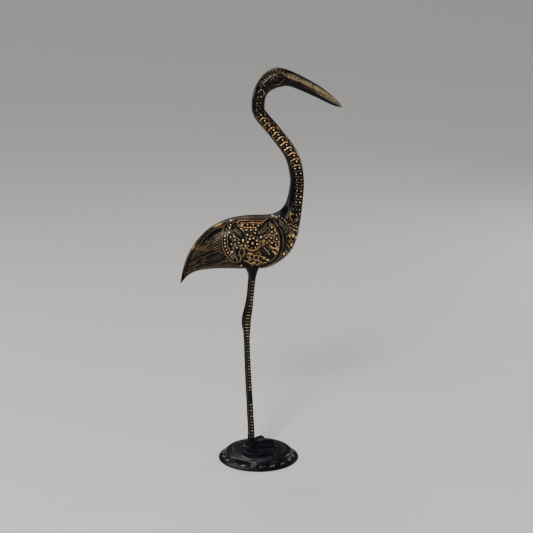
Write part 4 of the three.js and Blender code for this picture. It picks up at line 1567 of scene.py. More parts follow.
@dataclass
class NeckLadder(Chasing):
    """The chased band up each side of the neck, between two gold lines."""

    first_row: float = 11.55
    hooks_from: float = 13.45
    flecks_from: float = 15.85
    last_row: float = 17.6
    gold_rows: Band = (13.3, 13.7, 15.6, 15.95)
    plain_rows: Band = (10.2, 11.0, 18.0, 18.6)
    upper_edge: Places = (
        (11.3, 62), (11.6, 66), (12.3, 62), (13.2, 58), (14.2, 51), (14.8, 45), (15.4, 36), (15.8, 42),
        (16.2, 50), (17.8, 54),
    )
    lower_edge: Places = (
        (11.3, 130), (12.0, 136), (12.6, 141), (13.4, 139), (14.3, 134), (14.8, 138), (15.3, 128),
        (15.8, 119), (17.8, 122),
    )
    slant_rows: Places = ((11.5, 0.42), (12.0, 0.30), (12.6, 0.10), (13.2, 0.0))
    hook_shape: Places = (
        (0.06, -0.16), (0.22, -0.06), (0.42, 0.06), (0.60, 0.10), (0.74, 0.0), (0.80, -0.22),
    )
    rung_shape: Places = ((0.08, 0.0), (0.35, 0.02), (0.65, 0.02), (0.90, 0.0))
    bead_size: Triple = (1.1, 1.0, 1.0)

    def across(self, row: Array | float, share: Array | float) -> Array | float:
        """The angle at a share of the band's width, 0 at its upper edge and 1 at its lower edge."""
        upper, lower = (np.interp(row, *zip(*edge)) for edge in (self.upper_edge, self.lower_edge))
        return upper + (lower - upper) * share

    def slant(self, row: float, share: float) -> float:
        """How many rows further up a rung lies at a share of its width, near the foot of the neck."""
        return float(np.interp(row, *zip(*self.slant_rows))) * (share - 0.3)

    def tread(self, row: float) -> Tread:
        """What the space above a rung at this row holds."""
        fleck_or_hook = Tread.HOOK if row < self.flecks_from else Tread.FLECK
        return Tread.BEADS if row < self.hooks_from else fleck_or_hook

    def rungs(self) -> list[float]:
        """Spaces the rungs up the neck.

        Returns:
            Their rows, from the foot of the neck up.
        """
        rows, run = self.skin.outline.row_lengths(self.first_row, self.last_row)
        found = [self.first_row]
        while found[-1] < self.last_row - 0.05:
            pitch = self.tread(found[-1]).value
            found.append(float(np.interp(np.interp(found[-1], rows, run) + pitch, run, rows)))
        return found

    def chase(self) -> None:
        """Gilds the band, lays its edges and fills every space."""
        skin = self.skin
        inside = ramp(skin.angle, self.across(skin.row, -0.04), self.across(skin.row, 0.03))
        inside *= ramp(skin.angle, self.across(skin.row, 1.04), self.across(skin.row, 0.97))
        ends = (self.first_row - 0.1, self.first_row, self.last_row, self.last_row + 0.3)
        inside *= plateau(skin.row, *ends)
        gold = plateau(skin.row, *self.gold_rows)
        grain = np.sin(skin.run * 3.1) * np.sin(np.radians(skin.angle) * 24)
        skin.lift(inside, -0.22 + 0.06 * grain)
        skin.paint(inside, 0.15 + 0.33 * gold + 0.14 * grain, 0.45 + 0.4 * gold)
        rungs = self.rungs()
        for low, high in zip(rungs, rungs[1:]):
            self.edges(low, high - low)
            if self.tread(low) is Tread.HOOK:
                self.hook(low, high - low)
            else:
                self.rung(low, high - low)
        self.nape_and_throat()

    def hook(self, low: float, step: float) -> None:
        """Fills one space with a gold hook over a bead.

        Args:
            low: the row where the space starts.
            step: its height in rows.
        """
        chance = math.sin(29.0 * low)
        warmth = 0.62 + 0.15 * math.sin(17.0 * low)
        self.bar(low, step, self.hook_shape, 0.86 + 0.10 * chance, 0.98 + 0.12 * chance, warmth)
        self.beads(low + step * 0.60, (0.58,), 1.15, 1.05)
        self.beads(low + step * 0.48, (0.24,), 0.6, 0.85)
        self.pits([(low + step * 0.84, self.across(low, 0.52))], radius=1.3, depth=0.6)

    def rung(self, low: float, step: float) -> None:
        """Fills one space with a plain rung and a pair of beads, both smaller near the head.

        Args:
            low: the row where the space starts.
            step: its height in rows.
        """
        worn = self.tread(low) is Tread.FLECK
        self.bar(low, step, self.rung_shape, 0.45 if worn else 0.55, 0.5 if worn else 0.58, 0.7)
        gilt = 0.8 if worn else 1.15 - 0.36 * bell(low - 12.65, 0.4)
        self.beads(low + step * 0.52, (0.26, 0.72), gilt, 0.85 if worn else 1.0)

    def edges(self, low: float, step: float) -> None:
        """Lays a worn piece of both edge lines beside one space.

        Args:
            low: the row where the space starts.
            step: its height in rows.
        """
        gold = 0.9 if self.tread(low) is Tread.HOOK else 0.45
        for share, shown in ((0.0, 0.75), (1.0, 1.0)):
            chance = 0.5 + 0.5 * math.sin(37.0 * low + 3.0 * share)
            rows = low + step * np.linspace(0.1, 0.6 + 0.25 * chance, 7) + self.slant(low, share)
            line = np.stack([rows, self.across(rows, share)], -1)
            gilt = gold * shown * (0.65 + 0.35 * chance)
            self.cord(line, 0.30 + 0.16 * chance, gilt=gilt, warmth=0.7, lift=0.12)

    def bar(
        self, low: float, step: float, shape: Places, radius: float, gilt: float, warmth: float
    ) -> None:
        """Lays a rung.

        Args:
            low: its row.
            step: the rows to the next rung.
            shape: its line, as shares of the band's width and of the step.
            radius: its radius in the middle.
            gilt: its gilding.
            warmth: the warmth of its gold.
        """
        points = [
            (low + step * along + self.slant(low, share), self.across(low, share)) for share, along in shape
        ]
        fullness = 0.6 + 0.4 * np.sin(np.linspace(0, math.pi, 16))
        self.cord(curve_through(points, 16), radius * fullness, gilt=gilt, warmth=warmth)

    def beads(self, row: float, shares: tuple[float, ...], gilt: float, scale: float) -> None:
        """Sets beads across the band at one row, each in a dark cup.

        Args:
            row: the row.
            shares: where they lie across the band's width.
            gilt: their gilding.
            scale: their size.
        """
        size = tuple(scale * part for part in self.bead_size)
        places = [(row + self.slant(row, share), self.across(row, share)) for share in shares]
        middles = [self.bead(place, size, gilt, warmth=-0.1) for place in places]
        self.skin.cup(np.array(middles), 1.6 * scale, depth=0.45)

    def nape_and_throat(self) -> None:
        """Draws the plain dark strips down the back and the front of the neck, with one thin line."""
        skin = self.skin
        on_neck = plateau(skin.row, *self.plain_rows)
        strip = on_neck * ramp(skin.angle, self.across(skin.row, -0.03), self.across(skin.row, -0.10))
        line = bell(skin.angle - 36, 3.5) * ramp(skin.row, 14.2, 13.4)
        grooves = bell(skin.angle - 27, 3.0) + bell(skin.angle - 46, 3.0)
        skin.paint(strip, 0.13 + 0.17 * line, warmth=0.2)
        skin.lift(strip, 0.12 * line - 0.22 * grooves * ramp(skin.row, 14.8, 13.8))
        throat = on_neck * ramp(skin.angle, self.across(skin.row, 1.03), self.across(skin.row, 1.12))
        skin.paint(throat, gilt=0.14, warmth=0.5)


@dataclass
class HeadAndBeak(Chasing):
    """The chased crown, the eye with its lids, and the long hatched beak."""

    eye: Pair = (19.68, 96.0)
    eye_size: Triple = (5.6, 1.9, 1.2)
    iris: Pair = (19.66, 93.0)
    iris_size: Triple = (2.3, 1.2, 0.8)
    eye_outline: Places = (
        (19.0, 91), (19.32, 85), (19.62, 84), (20.0, 88), (20.5, 95), (20.1, 104), (19.73, 108),
        (19.36, 105),
    )
    upper_lid: Places = ((18.95, 86), (19.2, 78), (19.55, 75), (19.9, 79), (20.3, 84), (20.85, 77))
    lower_lid: Places = ((18.94, 97), (19.04, 112), (19.30, 123), (19.64, 124), (20.02, 114), (20.55, 97))
    brow_strokes: Places = (
        (19.90, 31), (20.02, 42), (20.16, 52), (20.32, 50), (20.46, 60), (20.62, 60), (20.66, 72),
        (20.84, 66), (20.92, 80),
    )
    brow_stroke_size: Triple = (1.4, 0.5, 0.45)
    cheek: Places = ((18.54, 36), (18.48, 61), (18.42, 87))
    cheek_groove: Places = ((18.40, 52), (18.33, 74), (18.26, 96), (18.22, 108))
    arch: tuple[Places, ...] = (
        ((17.68, 63), (17.92, 67), (18.08, 76)), ((18.08, 85), (18.02, 93), (17.92, 99)),
        ((17.92, 106), (17.80, 113), (17.66, 112)), ((17.46, 88), (17.52, 96), (17.44, 104)),
    )
    arch_holes: Places = ((17.70, 84), (17.62, 101), (17.40, 74))
    hatch_top: Places = (
        (20.8, 52), (21.3, 46), (21.7, 40), (22.5, 38), (22.8, 32), (23.2, 22), (23.8, 6), (25.0, 0),
    )
    hatch_low: Places = ((20.9, 88), (21.5, 92), (22.4, 88), (23.0, 91), (23.5, 86), (24.2, 74), (25.0, 60))
    mouth: Places = ((20.95, 112), (21.4, 118), (22.2, 121), (23.2, 121), (24.0, 119), (24.6, 112))
    mouth_angle: float = 117.0
    streak_pitch: float = 2.5
    stroke_pitch: float = 1.9
    gap_rows: Pair = (22.08, 22.64)
    rough_rows: Pair = (22.3, 21.8)
    bright_tip_rows: Pair = (24.35, 24.7)
    head_rows: Band = (17.9, 18.3, 20.7, 21.0)
    crown_angles: Band = (9.0, 16.0, 66.0, 78.0)
    crest: tuple[tuple[Band, float, float], ...] = (
        ((16.9, 17.4, 19.6, 19.9), 0.5, 1.1),
        ((20.1, 20.3, 20.8, 21.1), 0.6, 0.8),
    )

    def chase(self) -> None:
        """Works the crown, the beak and the face."""
        self.crown()
        self.beak()
        self.face()

    def crown(self) -> None:
        """Draws the crown's upright streaks, its brow strokes and the worn line along its top."""
        skin = self.skin
        head = plateau(skin.row, *self.head_rows)
        streaks = np.cos(skin.run * 2 * math.pi / self.streak_pitch)
        zone = head * plateau(skin.angle, *self.crown_angles)
        skin.paint(zone, 0.36 + 0.13 * np.clip(streaks, -0.4, 1), warmth=0.15)
        skin.lift(zone, 0.06 * streaks)
        top = ramp(skin.angle, 26, 12)
        for rows, gilt, warmth in self.crest:
            skin.paint(top * plateau(skin.row, *rows), gilt, warmth)
        skin.paint(head * ramp(skin.angle, 74, 84) * ramp(skin.row, 19.2, 18.8), gilt=0.33, warmth=0.7)
        for place in self.brow_strokes:
            self.bead(place, self.brow_stroke_size, gilt=0.8, warmth=0.3, heading=60)

    def beak(self) -> None:
        """Hatches the beak's sides in two rows of short strokes and cuts the mouth line."""
        skin = self.skin
        top, low = (np.interp(skin.row, *zip(*edge)) for edge in (self.hatch_top, self.hatch_low))
        on_beak = ramp(skin.row, 20.75, 21.0)
        hatched = on_beak * plateau(skin.angle, top - 4, top + 2, low - 3, low + 3)
        around = 0.9 * np.radians(skin.angle) * skin.half_width
        upper_row = ramp(skin.angle, (top + low) / 2 + 3, (top + low) / 2 - 3)
        strokes = np.cos((skin.run + around) * 2 * math.pi / self.stroke_pitch) * upper_row
        strokes += np.cos((skin.run - around) * 2 * math.pi / self.stroke_pitch) * (1 - upper_row)
        rough = ramp(skin.row, *self.rough_rows)
        skin.lift(hatched, (0.07 + 0.09 * rough) * strokes * ramp(skin.row, 24.4, 23.9))
        gaps = sum(bell(skin.row - row, 0.06) for row in self.gap_rows)
        gilt = 0.65 + 0.06 * ramp(skin.row, 22.0, 22.7) + (0.20 + 0.13 * rough) * strokes - 0.14 * gaps
        skin.paint(hatched, gilt, warmth=0.05)
        lip = plateau(skin.angle, low - 2, low + 4, self.mouth_angle - 3, self.mouth_angle + 1)
        tip = ramp(skin.row, 22.0, 23.4)
        skin.paint(on_beak * lip, 0.29 + 0.27 * tip, 0.4 - 0.8 * tip)
        under = ramp(skin.angle, self.mouth_angle - 2, self.mouth_angle + 3)
        skin.paint(on_beak * under, gilt=0.22, warmth=0.8)
        wedge = bell(skin.row - 22.45, 0.5) * ramp(skin.angle, 108, 116)
        skin.paint(on_beak * wedge * 0.8, gilt=0.04)
        skin.paint(on_beak * ramp(skin.angle, top - 2, top - 8), gilt=0.12, warmth=0.2)
        skin.paint(ramp(skin.row, *self.bright_tip_rows), gilt=0.62, warmth=-0.8)
        self.groove(curve_through(self.mouth, 120), half_width=0.7, depth=0.35, gilt=0.02)

    def face(self) -> None:
        """Sets the eye, its lids, the cheek and the arch below it."""
        self.groove(curve_through(self.eye_outline + self.eye_outline[:1], 48), half_width=1.3, depth=0.55)
        self.bead(self.eye, self.eye_size, gilt=0.06, warmth=0.3, lift=-0.35)
        self.bead(self.iris, self.iris_size, gilt=0.45, warmth=0.4, lift=0.25)
        taper = 0.22 + 0.26 * np.sin(np.linspace(0, math.pi, 30))
        self.cord(curve_through(self.lower_lid, 30), taper, gilt=0.58, warmth=0.6, lift=0.15)
        self.cord(curve_through(self.upper_lid, 30), 1.2 * taper, gilt=0.5, warmth=0.3)
        self.groove(curve_through(self.cheek_groove, 24), half_width=1.4, depth=0.7)
        self.cord(curve_through(self.cheek, 20), radius=0.38, gilt=0.7, warmth=0.3, lift=0.15)
        for stroke in self.arch:
            self.cord(curve_through(stroke, 12), radius=0.6, gilt=0.8, warmth=0.3)
        self.pits(self.arch_holes, radius=1.3, depth=0.6)


@dataclass
class Crane:
    """The bird: skin, beads and cords."""

    finish: Finish
    body: Patch = Patch("crane_body", 0.0, SEAM_ROW, 286, 330)
    neck: Patch = Patch("crane_neck_and_head", SEAM_ROW, LAST_ROW, 760, 124)

    def build(self) -> list[Piece]:
        """Chases the skin and makes its pieces.

        Returns:
            The pieces.
        """
        skin, trims = Skin(Outline(), [self.body, self.neck]), Trims()
        for work in (BackBand, TailFeathers, Medallion, BorderAndCollar, Breast, NeckLadder, HeadAndBeak):
            work(skin, trims).chase()
            LOG.info("chased %s", work.__name__)
        skin.wear()
        made = [skin.build(patch, self.finish) for patch in skin.patches]
        for piece in made:
            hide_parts("crane")
        trims.mirror()
        made.append(trims.build_beads("crane_beads", self.finish))
        made.append(trims.build_cords("crane_raised_lines", self.finish))
        return made


@dataclass
class Legs:
    """Two slender legs with backward knees, barred on their outer sides from the thigh to the foot."""

    finish: Finish
    spacing: float = LEG_SPACING
    rings: int = 260
    columns: int = 32
    bar_pitch: float = 3.55
    bar_span: Pair = (28.5, 216.0)
    worn_span: Pair = (70.0, 84.0)
    bar_reach: Pair = (30.0, 44.0)
    bar_radius: float = 0.52
    knee_height: float = 166.0

    def shape(self, height: Array) -> Array:
        """The leg's height, distance forward, half depth and half width, read at each height."""
        rows = np.array(LEG_ROWS)
        return spline(rows, np.interp(-height, -rows[:, 0], np.arange(len(rows))))

    def leg(self, name: str, side: int) -> Piece:
        """Makes one leg.

        Args:
            name: its name.
            side: 1 on the bird's left and -1 on its right.

        Returns:
            The leg.
        """
        heights = np.linspace(LEG_ROWS[0][0], LEG_ROWS[-1][0], self.rings)
        _, x, depth, width = np.moveaxis(self.shape(heights), -1, 0)
        axis = (x, side * self.spacing / 2)
        return upright(name, heights, axis, (-depth, width), self.columns, 0.10, self.finish)

    def bars(self) -> Piece:
        """Makes the short raised bars on the outer sides of both legs.

        Returns:
            All of the bars as one piece.
        """
        trims = Trims()
        chance = np.random.default_rng(11)
        narrow, wide = self.bar_reach
        taper = 0.35 + 0.65 * np.cos(np.linspace(-math.pi / 2, math.pi / 2, 9))
        heights = np.arange(*self.bar_span, self.bar_pitch)
        for _, x, depth, width, height in np.column_stack([self.shape(heights), heights]):
            reach = narrow + (wide - narrow) * bell(height - self.knee_height, 14)
            turn = np.radians(np.linspace(-reach, reach, 9))
            for side in (-1, 1):
                out = side * (self.spacing / 2 + width * np.cos(turn))
                line = np.stack([x + depth * np.sin(turn), out, height + 0.25 * np.cos(turn)], -1)
                worn = 0.45 if self.worn_span[0] < height < self.worn_span[1] else 1.0
                gilt = (0.66 + 0.40 * chance.random()) * worn
                trims.cords.append(Cord(line, self.bar_radius * taper, gilt, 0.3 * chance.random()))
        return trims.build_cords("leg_bars", self.finish)

    def build(self) -> list[Piece]:
        """Makes both legs and their bars."""
        return [self.leg("near_leg", -1), self.leg("far_leg", 1), self.bars()]


def mound(away: Array, power: float = 3.0) -> Array:
    """A mound's height at shares of its half width, 1 in its middle, below 0 past its edge."""
    return 1 - np.minimum(np.abs(away), 3.0) ** power


def blend(first: Array, second: Array, crease: float) -> Array:
    """The higher of two surfaces, with the crease between them filled a little."""
    return (first + second + np.sqrt((first - second) ** 2 + crease**2)) / 2 - crease / 8


@dataclass(frozen=True)
class Toe:
    """One toe of a foot, from above, from the ankle to its tip."""

    start: Pair
    tip: Triple
    half_width: float = 4.7
    rise: float = 4.6
    start_height: float = 12.4
    knuckle: Pair = (0.8, 0.13)

    def height(self, x: Array, y: Array) -> Array:
        """The height of the toe's top, falling away fast beside it.

        Args:
            x: how far forward each point seen from above lies.
            y: how far to the bird's left it lies.

        Returns:
            The height over each point.
        """
        run = np.array(self.tip[:2]) - np.array(self.start)
        along = ((x - self.start[0]) * run[0] + (y - self.start[1]) * run[1]) / float(np.hypot(*run)) ** 2
        share = np.clip(along, 0, 1)
        away = np.hypot(x - self.start[0] - run[0] * share, y - self.start[1] - run[1] * share)
        full = 1 - 0.22 * share + 0.12 * bell(share - self.knuckle[0], self.knuckle[1])
        axis = self.start_height + (self.tip[2] - self.start_height) * share
        return axis + self.rise * full * mound(away / (self.half_width * full))


@dataclass
class RoundFoot:
    """The round foot: a low dome with the bird's feet cast on it, over a sloping band of chased leaves."""

    finish: Finish
    spacing: float = LEG_SPACING
    columns: int = 420
    fine_step: float = 0.36
    under_rings: int = 12
    leaf_radius: float = 40.9
    leaf_height: float = 4.15
    leaf_slope: Pair = (5.2, 3.2)
    leaf_bearings: tuple[float, ...] = (-176, -160, -140, -124.5, -109, -93.5, -77, -57, -38.5, -19.5)
    hidden_leaves: int = 11
    strokes: int = 5
    stroke_pitch: float = 1.35
    stroke_lean: float = 0.75
    stroke_stagger: float = 0.35
    stroke_length: float = 1.75
    stroke_shortening: float = 0.22
    stroke_width: float = 0.38
    stroke_height: float = 0.28
    ankle: Places = ((9.0, 5.4), (12.5, 4.8), (15.5, 3.9), (20.0, 3.5), (26.5, 3.3))
    near_tips: tuple[tuple[float, float, float, float], ...] = (
        (11.5, -25.5, 10.2, 4.8), (18.0, -2.0, 11.2, 4.6), (-2.0, -26.5, 10.0, 4.8),
        (-19.0, -16.5, 10.6, 4.8),
    )
    far_tips: tuple[tuple[float, float, float, float], ...] = (
        (7.5, 28.0, 11.6, 6.0), (18.5, 15.0, 10.8, 4.6), (-15.0, 11.0, 13.2, 5.6),
    )
    web: tuple[float, float, float, float, float, float] = (-4.0, -18.5, 9.4, 17.5, 12.0, 4.8)
    crease: float = 0.9
    flare_height: float = 11.3
    flare_rise: float = 4.5
    dome_edge: float = 37.5
    soot: float = -0.75
    ankle_soot: float = -0.8
    scroll_arcs: tuple[tuple[float, float, float, float, float], ...] = (
        (150.0, 200.0, 31.0, 29.8, 0.66), (160.0, 192.0, 28.6, 27.6, 0.54), (-44.0, 28.0, 30.0, 30.6, 0.6),
        (-34.0, 10.0, 26.0, 27.5, 0.5), (-138.0, -104.0, 32.0, 34.0, 0.5), (40.0, 110.0, 31.0, 33.0, 0.5),
    )
    scroll_width: float = 0.42

    def profile(self) -> Array:
        """Reads the profile from the underside's middle to the top's middle, and rounds its corners.

        Returns:
            The radius and the height of each point of the profile.
        """
        points = np.array(FOOT_PROFILE)
        lengths = np.concatenate([[0.0], np.cumsum(np.hypot(*np.diff(points, axis=0).T))])
        rim = lengths[1] - 2.0
        under = np.linspace(0, rim, self.under_rings)
        spaced = np.concatenate([under, np.arange(rim, lengths[-1], self.fine_step)[1:]])
        fine = np.stack([np.interp(spaced, lengths, points[:, k]) for k in (0, 1)], -1)
        weights = np.array([0.25, 0.5, 0.25])
        for _ in range(8):
            for k in (0, 1):
                fine[1:-1, k] = np.convolve(fine[:, k], weights, "valid")
        return fine

    def feet_height(self, x: Array, y: Array) -> Array:
        """Joins the toes, the web and the flares round the ankles.

        Args:
            x: how far forward each point seen from above lies.
            y: how far to the bird's left it lies.

        Returns:
            The height of the cast feet over each point.
        """
        height = np.full(x.shape, -50.0)
        for side, tips in ((-1, self.near_tips), (1, self.far_tips)):
            start = (FOOT_X, side * self.spacing / 2)
            for *tip, half_width in tips:
                height = blend(height, Toe(start, tuple(tip), half_width).height(x, y), self.crease)
            away = np.hypot(x - start[0], y - start[1])
            beyond = np.maximum(away - self.ankle[-1][1], 0)
            flare = self.flare_height + self.flare_rise * np.exp(-beyond / 1.6) - 0.6 * away
            height = blend(height, flare, self.crease)
        web_x, web_y, web_z, half_length, half_width, rise = self.web
        web = web_z + rise * mound(np.hypot((x - web_x) / half_length, (y - web_y) / half_width), 6.0)
        return blend(height, web, self.crease)

    def disc(self) -> Piece:
        """Makes the foot, with the bird's feet on its dome, faint gold scrolls between them, and painted
        shade over the dome's front.

        Returns:
            The foot.
        """
        profile = self.profile()[1:-1]
        turn = np.linspace(0, 2 * math.pi, self.columns, endpoint=False)
        radius = np.broadcast_to(profile[:, :1], (len(profile), self.columns))
        height = np.broadcast_to(profile[:, 1:], radius.shape).copy()
        bearing = np.broadcast_to(turn, radius.shape)
        x, y = radius * np.cos(bearing), radius * np.sin(bearing)
        on_top = ramp(radius, self.dome_edge, self.dome_edge - 1.5) * (height > 8.0)
        feet = self.feet_height(x, y)
        gilt = np.full(radius.shape, 0.05)
        clear = ramp(feet - height, 0.2, -1.5)
        for start, end, first, last, shown in self.scroll_arcs:
            share = ((np.degrees(bearing) - start) % 360) / (end - start)
            path = first + (last - first) * np.sin(np.clip(share, 0, 1) * math.pi)
            ends = plateau(share, 0.0, 0.1, 0.9, 1.0)
            near = bell(radius - path, self.scroll_width) * ends * on_top * clear
            gilt += (shown + 0.16 * np.sin(radius * 3 + bearing * 31)) * near
            height -= 0.15 * near
        gilt += (self.soot - gilt) * ramp(feet - height, -0.3, 1.0) * on_top
        past_edge = ramp(radius, self.dome_edge, self.dome_edge + 1.0)
        # The band past the dome's edge is dulled all round. The dome's front, on the -y side, is darkened
        # and dulled as painted shade.
        gilt -= 0.6 * past_edge + 0.15 * ramp(-y, 8.0, 26.0) * on_top
        height += (blend(feet, height, self.crease) - height) * on_top * ramp(feet - height, -6.0, -3.0)
        values = {"gilt": gilt.ravel(), "warmth": np.full(gilt.size, 0.5)}
        return closed_loft("round_foot", np.stack([x, y, height], -1), values, self.finish)

    def leaves(self) -> Piece:
        """Cuts a slanting leaf of a few strokes at every step round the band.

        Returns:
            All of the strokes as one piece.
        """
        trims = Trims()
        slope = math.atan2(self.leaf_slope[1], self.leaf_slope[0])
        up = np.array([0.0, 0.0, 1.0])
        last, first = self.leaf_bearings[-1], self.leaf_bearings[0] + 360
        behind = np.linspace(last, first, self.hidden_leaves + 2)[1:-1]
        for k, degrees in enumerate([*self.leaf_bearings, *behind]):
            turn = math.radians(degrees)
            level = np.array([math.cos(turn), math.sin(turn), 0.0])
            round_it = np.array([-math.sin(turn), math.cos(turn), 0.0])
            up_slope = up * math.sin(slope) - level * math.cos(slope)
            outward = level * math.sin(slope) + up * math.cos(slope)
            along = unit(up_slope + round_it * self.stroke_lean)
            middle = level * self.leaf_radius + up * self.leaf_height
            for j in range(self.strokes):
                aside = j - self.strokes // 2
                stagger = up_slope * (self.stroke_stagger * aside * (-1) ** j)
                point = middle + round_it * aside * self.stroke_pitch + stagger
                length = self.stroke_length - self.stroke_shortening * abs(aside)
                size = (length, self.stroke_width, self.stroke_height)
                gilt = 0.72 + 0.14 * math.sin(2.4 * k) + 0.22 * math.cos(2.1 * j + k)
                warmth = 0.4 - 0.5 * math.cos(1.3 * k + j)
                trims.beads.append(Bead(point, outward, along, size, gilt, warmth))
        return trims.build_beads("foot_leaf_strokes", self.finish)

    def ankle_stub(self, name: str, side: int) -> Piece:
        """Makes the stub that a leg is brazed to.

        Args:
            name: its name.
            side: 1 on the bird's left and -1 on its right.

        Returns:
            The stub.
        """
        levels, radii = zip(*self.ankle)
        heights = np.linspace(levels[0], levels[-1], 30)
        radius = np.interp(heights, levels, radii)
        axis = (FOOT_X, side * self.spacing / 2)
        return upright(name, heights, axis, (radius, radius), 28, self.ankle_soot, self.finish)

    def build(self) -> list[Piece]:
        """Makes the foot, its leaves and the ankles.

        Returns:
            The pieces.
        """
        disc = self.disc()
        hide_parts("round_base")
        return [disc, self.leaves(), self.ankle_stub("near_ankle", -1), self.ankle_stub("far_ankle", 1)]


def worn_gilding() -> bpy.types.NodeTree:
    """Breaks up a smooth gilding value into worn metal and black patina.

    Returns:
        The shader group.
    """
    takes = {
        "Vector": ("NodeSocketVector",),
        "Gilt": (FLOAT, 0.5),
        "Breakup": (FLOAT, 0.35),
        "Coarse Scale": (FLOAT, 420.0),
        "Fine Scale": (FLOAT, 1500.0),
    }
    gives = dict.fromkeys(("Mask", "Grain", "Shine", "Polish"), FLOAT)
    tree = Tree.group("worn_gilding", "ShaderNodeTree", takes, gives)
    given = tree.given
    coarse = tree.noise(given["Vector"], given["Coarse Scale"], 3.0)
    fine = tree.noise(given["Vector"], given["Fine Scale"], 2.0)
    spread = tree.math("ADD", tree.math("SUBTRACT", coarse, 0.5), tree.math("SUBTRACT", fine, 0.5))
    total = tree.math("ADD", given["Gilt"], tree.math("MULTIPLY", spread, given["Breakup"]))
    results = {
        "Mask": tree.step(total, 0.30, 1.0),
        "Grain": fine,
        "Shine": tree.step(given["Gilt"], 0.75, 1.25),
        "Polish": tree.step(given["Gilt"], -1.0, 0.0, "LINEAR"),
    }
    tree.add("NodeGroupOutput", results)
    return tree.nodes


def brass_colours() -> bpy.types.NodeTree:
    """Turns the worn mask into colour, roughness and metal.

    Returns:
        The shader group.
    """
    takes = {
        "Mask": (FLOAT, 0.5),
        "Warmth": (FLOAT, 0.5),
        "Grain": (FLOAT, 0.5),
        "Shine": (FLOAT, 0.0),
        "Ground": (COLOUR, (0.01, 0.01, 0.012, 1.0)),
        "Pale Gold": (COLOUR, (0.5, 0.4, 0.24, 1.0)),
        "Warm Gold": (COLOUR, (0.6, 0.35, 0.12, 1.0)),
        "Ground Gloss": (FLOAT, 0.3),
        "Gold Gloss": (FLOAT, 0.38),
    }
    gives = {"Colour": COLOUR, "Roughness": FLOAT, "Metal": FLOAT}
    tree = Tree.group("brass_colours", "ShaderNodeTree", takes, gives)
    given = tree.given
    gold = tree.mix(given["Warmth"], given["Pale Gold"], given["Warm Gold"])
    shade = tree.math("MULTIPLY_ADD", given["Grain"], 0.7, 0.62)
    shade = tree.math("ADD", shade, tree.math("MULTIPLY", given["Shine"], 1.5))
    span = tree.math("SUBTRACT", given["Gold Gloss"], given["Ground Gloss"])
    rough = tree.math("ADD", given["Ground Gloss"], tree.math("MULTIPLY", span, given["Mask"]))
    uneven = tree.math("MULTIPLY", tree.math("SUBTRACT", given["Grain"], 0.5), 0.16)
    results = {
        "Colour": tree.mix(given["Mask"], given["Ground"], tree.scaled(gold, shade)),
        "Roughness": tree.math("ADD", rough, uneven),
        "Metal": tree.math("ADD", 0.1, tree.math("MULTIPLY", given["Mask"], 0.9)),
    }
    tree.add("NodeGroupOutput", results)
    return tree.nodes


@dataclass(frozen=True)
class AntiqueBrass:
    """Brass blackened all over and worn back to gold where its gilding value says."""

    name: str
    ground: Colour
    pale_gold: Colour
    warm_gold: Colour
    breakup: float
    ground_gloss: float
    gold_gloss: float
    lacquer: float
    reflectance: float
    coat_roughness: float = 0.25
    coat_index: float = 1.9
    soot_roughness: float = 0.25
    bump: float = 0.25
    bump_depth: float = 0.0002

    def material(self, wear: bpy.types.NodeTree, colours: bpy.types.NodeTree) -> Finish:
        """Makes the material.

        Args:
            wear: the group that breaks up the gilding.
            colours: the group that gives colour, roughness and metal.

        Returns:
            The material.
        """
        made = bpy.data.materials.new(self.name)
        made.use_nodes = True
        tree = Tree(made.node_tree)
        place = tree.add("ShaderNodeTexCoord").outputs["Object"]
        gilding = {"Vector": place, "Gilt": tree.attribute("gilt"), "Breakup": self.breakup}
        worn = tree.add("ShaderNodeGroup", gilding, node_tree=wear).outputs
        tones = {
            "Mask": worn["Mask"],
            "Warmth": tree.attribute("warmth"),
            "Grain": worn["Grain"],
            "Shine": worn["Shine"],
            "Ground": self.ground,
            "Pale Gold": self.pale_gold,
            "Warm Gold": self.warm_gold,
            "Ground Gloss": self.ground_gloss,
            "Gold Gloss": self.gold_gloss,
        }
        coloured = tree.add("ShaderNodeGroup", tones, node_tree=colours).outputs
        dull = tree.math("MULTIPLY", tree.math("SUBTRACT", 1.0, worn["Polish"]), self.soot_roughness)
        coat = tree.math("MULTIPLY", worn["Polish"], self.lacquer)
        bump = {"Strength": self.bump, "Distance": self.bump_depth, "Height": worn["Grain"]}
        surface = {
            "Base Color": coloured["Colour"],
            "Roughness": tree.math("ADD", coloured["Roughness"], dull),
            "Metallic": coloured["Metal"],
            "Specular IOR Level": self.reflectance,
            "Coat Weight": tree.math("ADD", coat, tree.attribute("gloss")),
            "Coat Roughness": self.coat_roughness,
            "Coat IOR": self.coat_index,
            "Normal": tree.add("ShaderNodeBump", bump).outputs["Normal"],
        }
        tree.fill(made.node_tree.nodes["Principled BSDF"], surface)
        return made


CHASED_BRASS = AntiqueBrass(
    name="chased_brass",
    ground=(0.0025, 0.0025, 0.004, 1.0),
    pale_gold=(0.42, 0.32, 0.175, 1.0),
    warm_gold=(0.52, 0.245, 0.075, 1.0),
    breakup=0.52,
    ground_gloss=0.32,
    gold_gloss=0.36,
    lacquer=0.03,
    reflectance=0.10,
)
BLACKENED_BRASS = AntiqueBrass(
    name="blackened_brass",
    ground=(0.004, 0.0045, 0.007, 1.0),
    pale_gold=(0.42, 0.34, 0.21, 1.0),
    warm_gold=(0.48, 0.28, 0.12, 1.0),
    breakup=0.40,
    ground_gloss=0.34,
    gold_gloss=0.40,
    lacquer=0.27,
    reflectance=0.04,
)


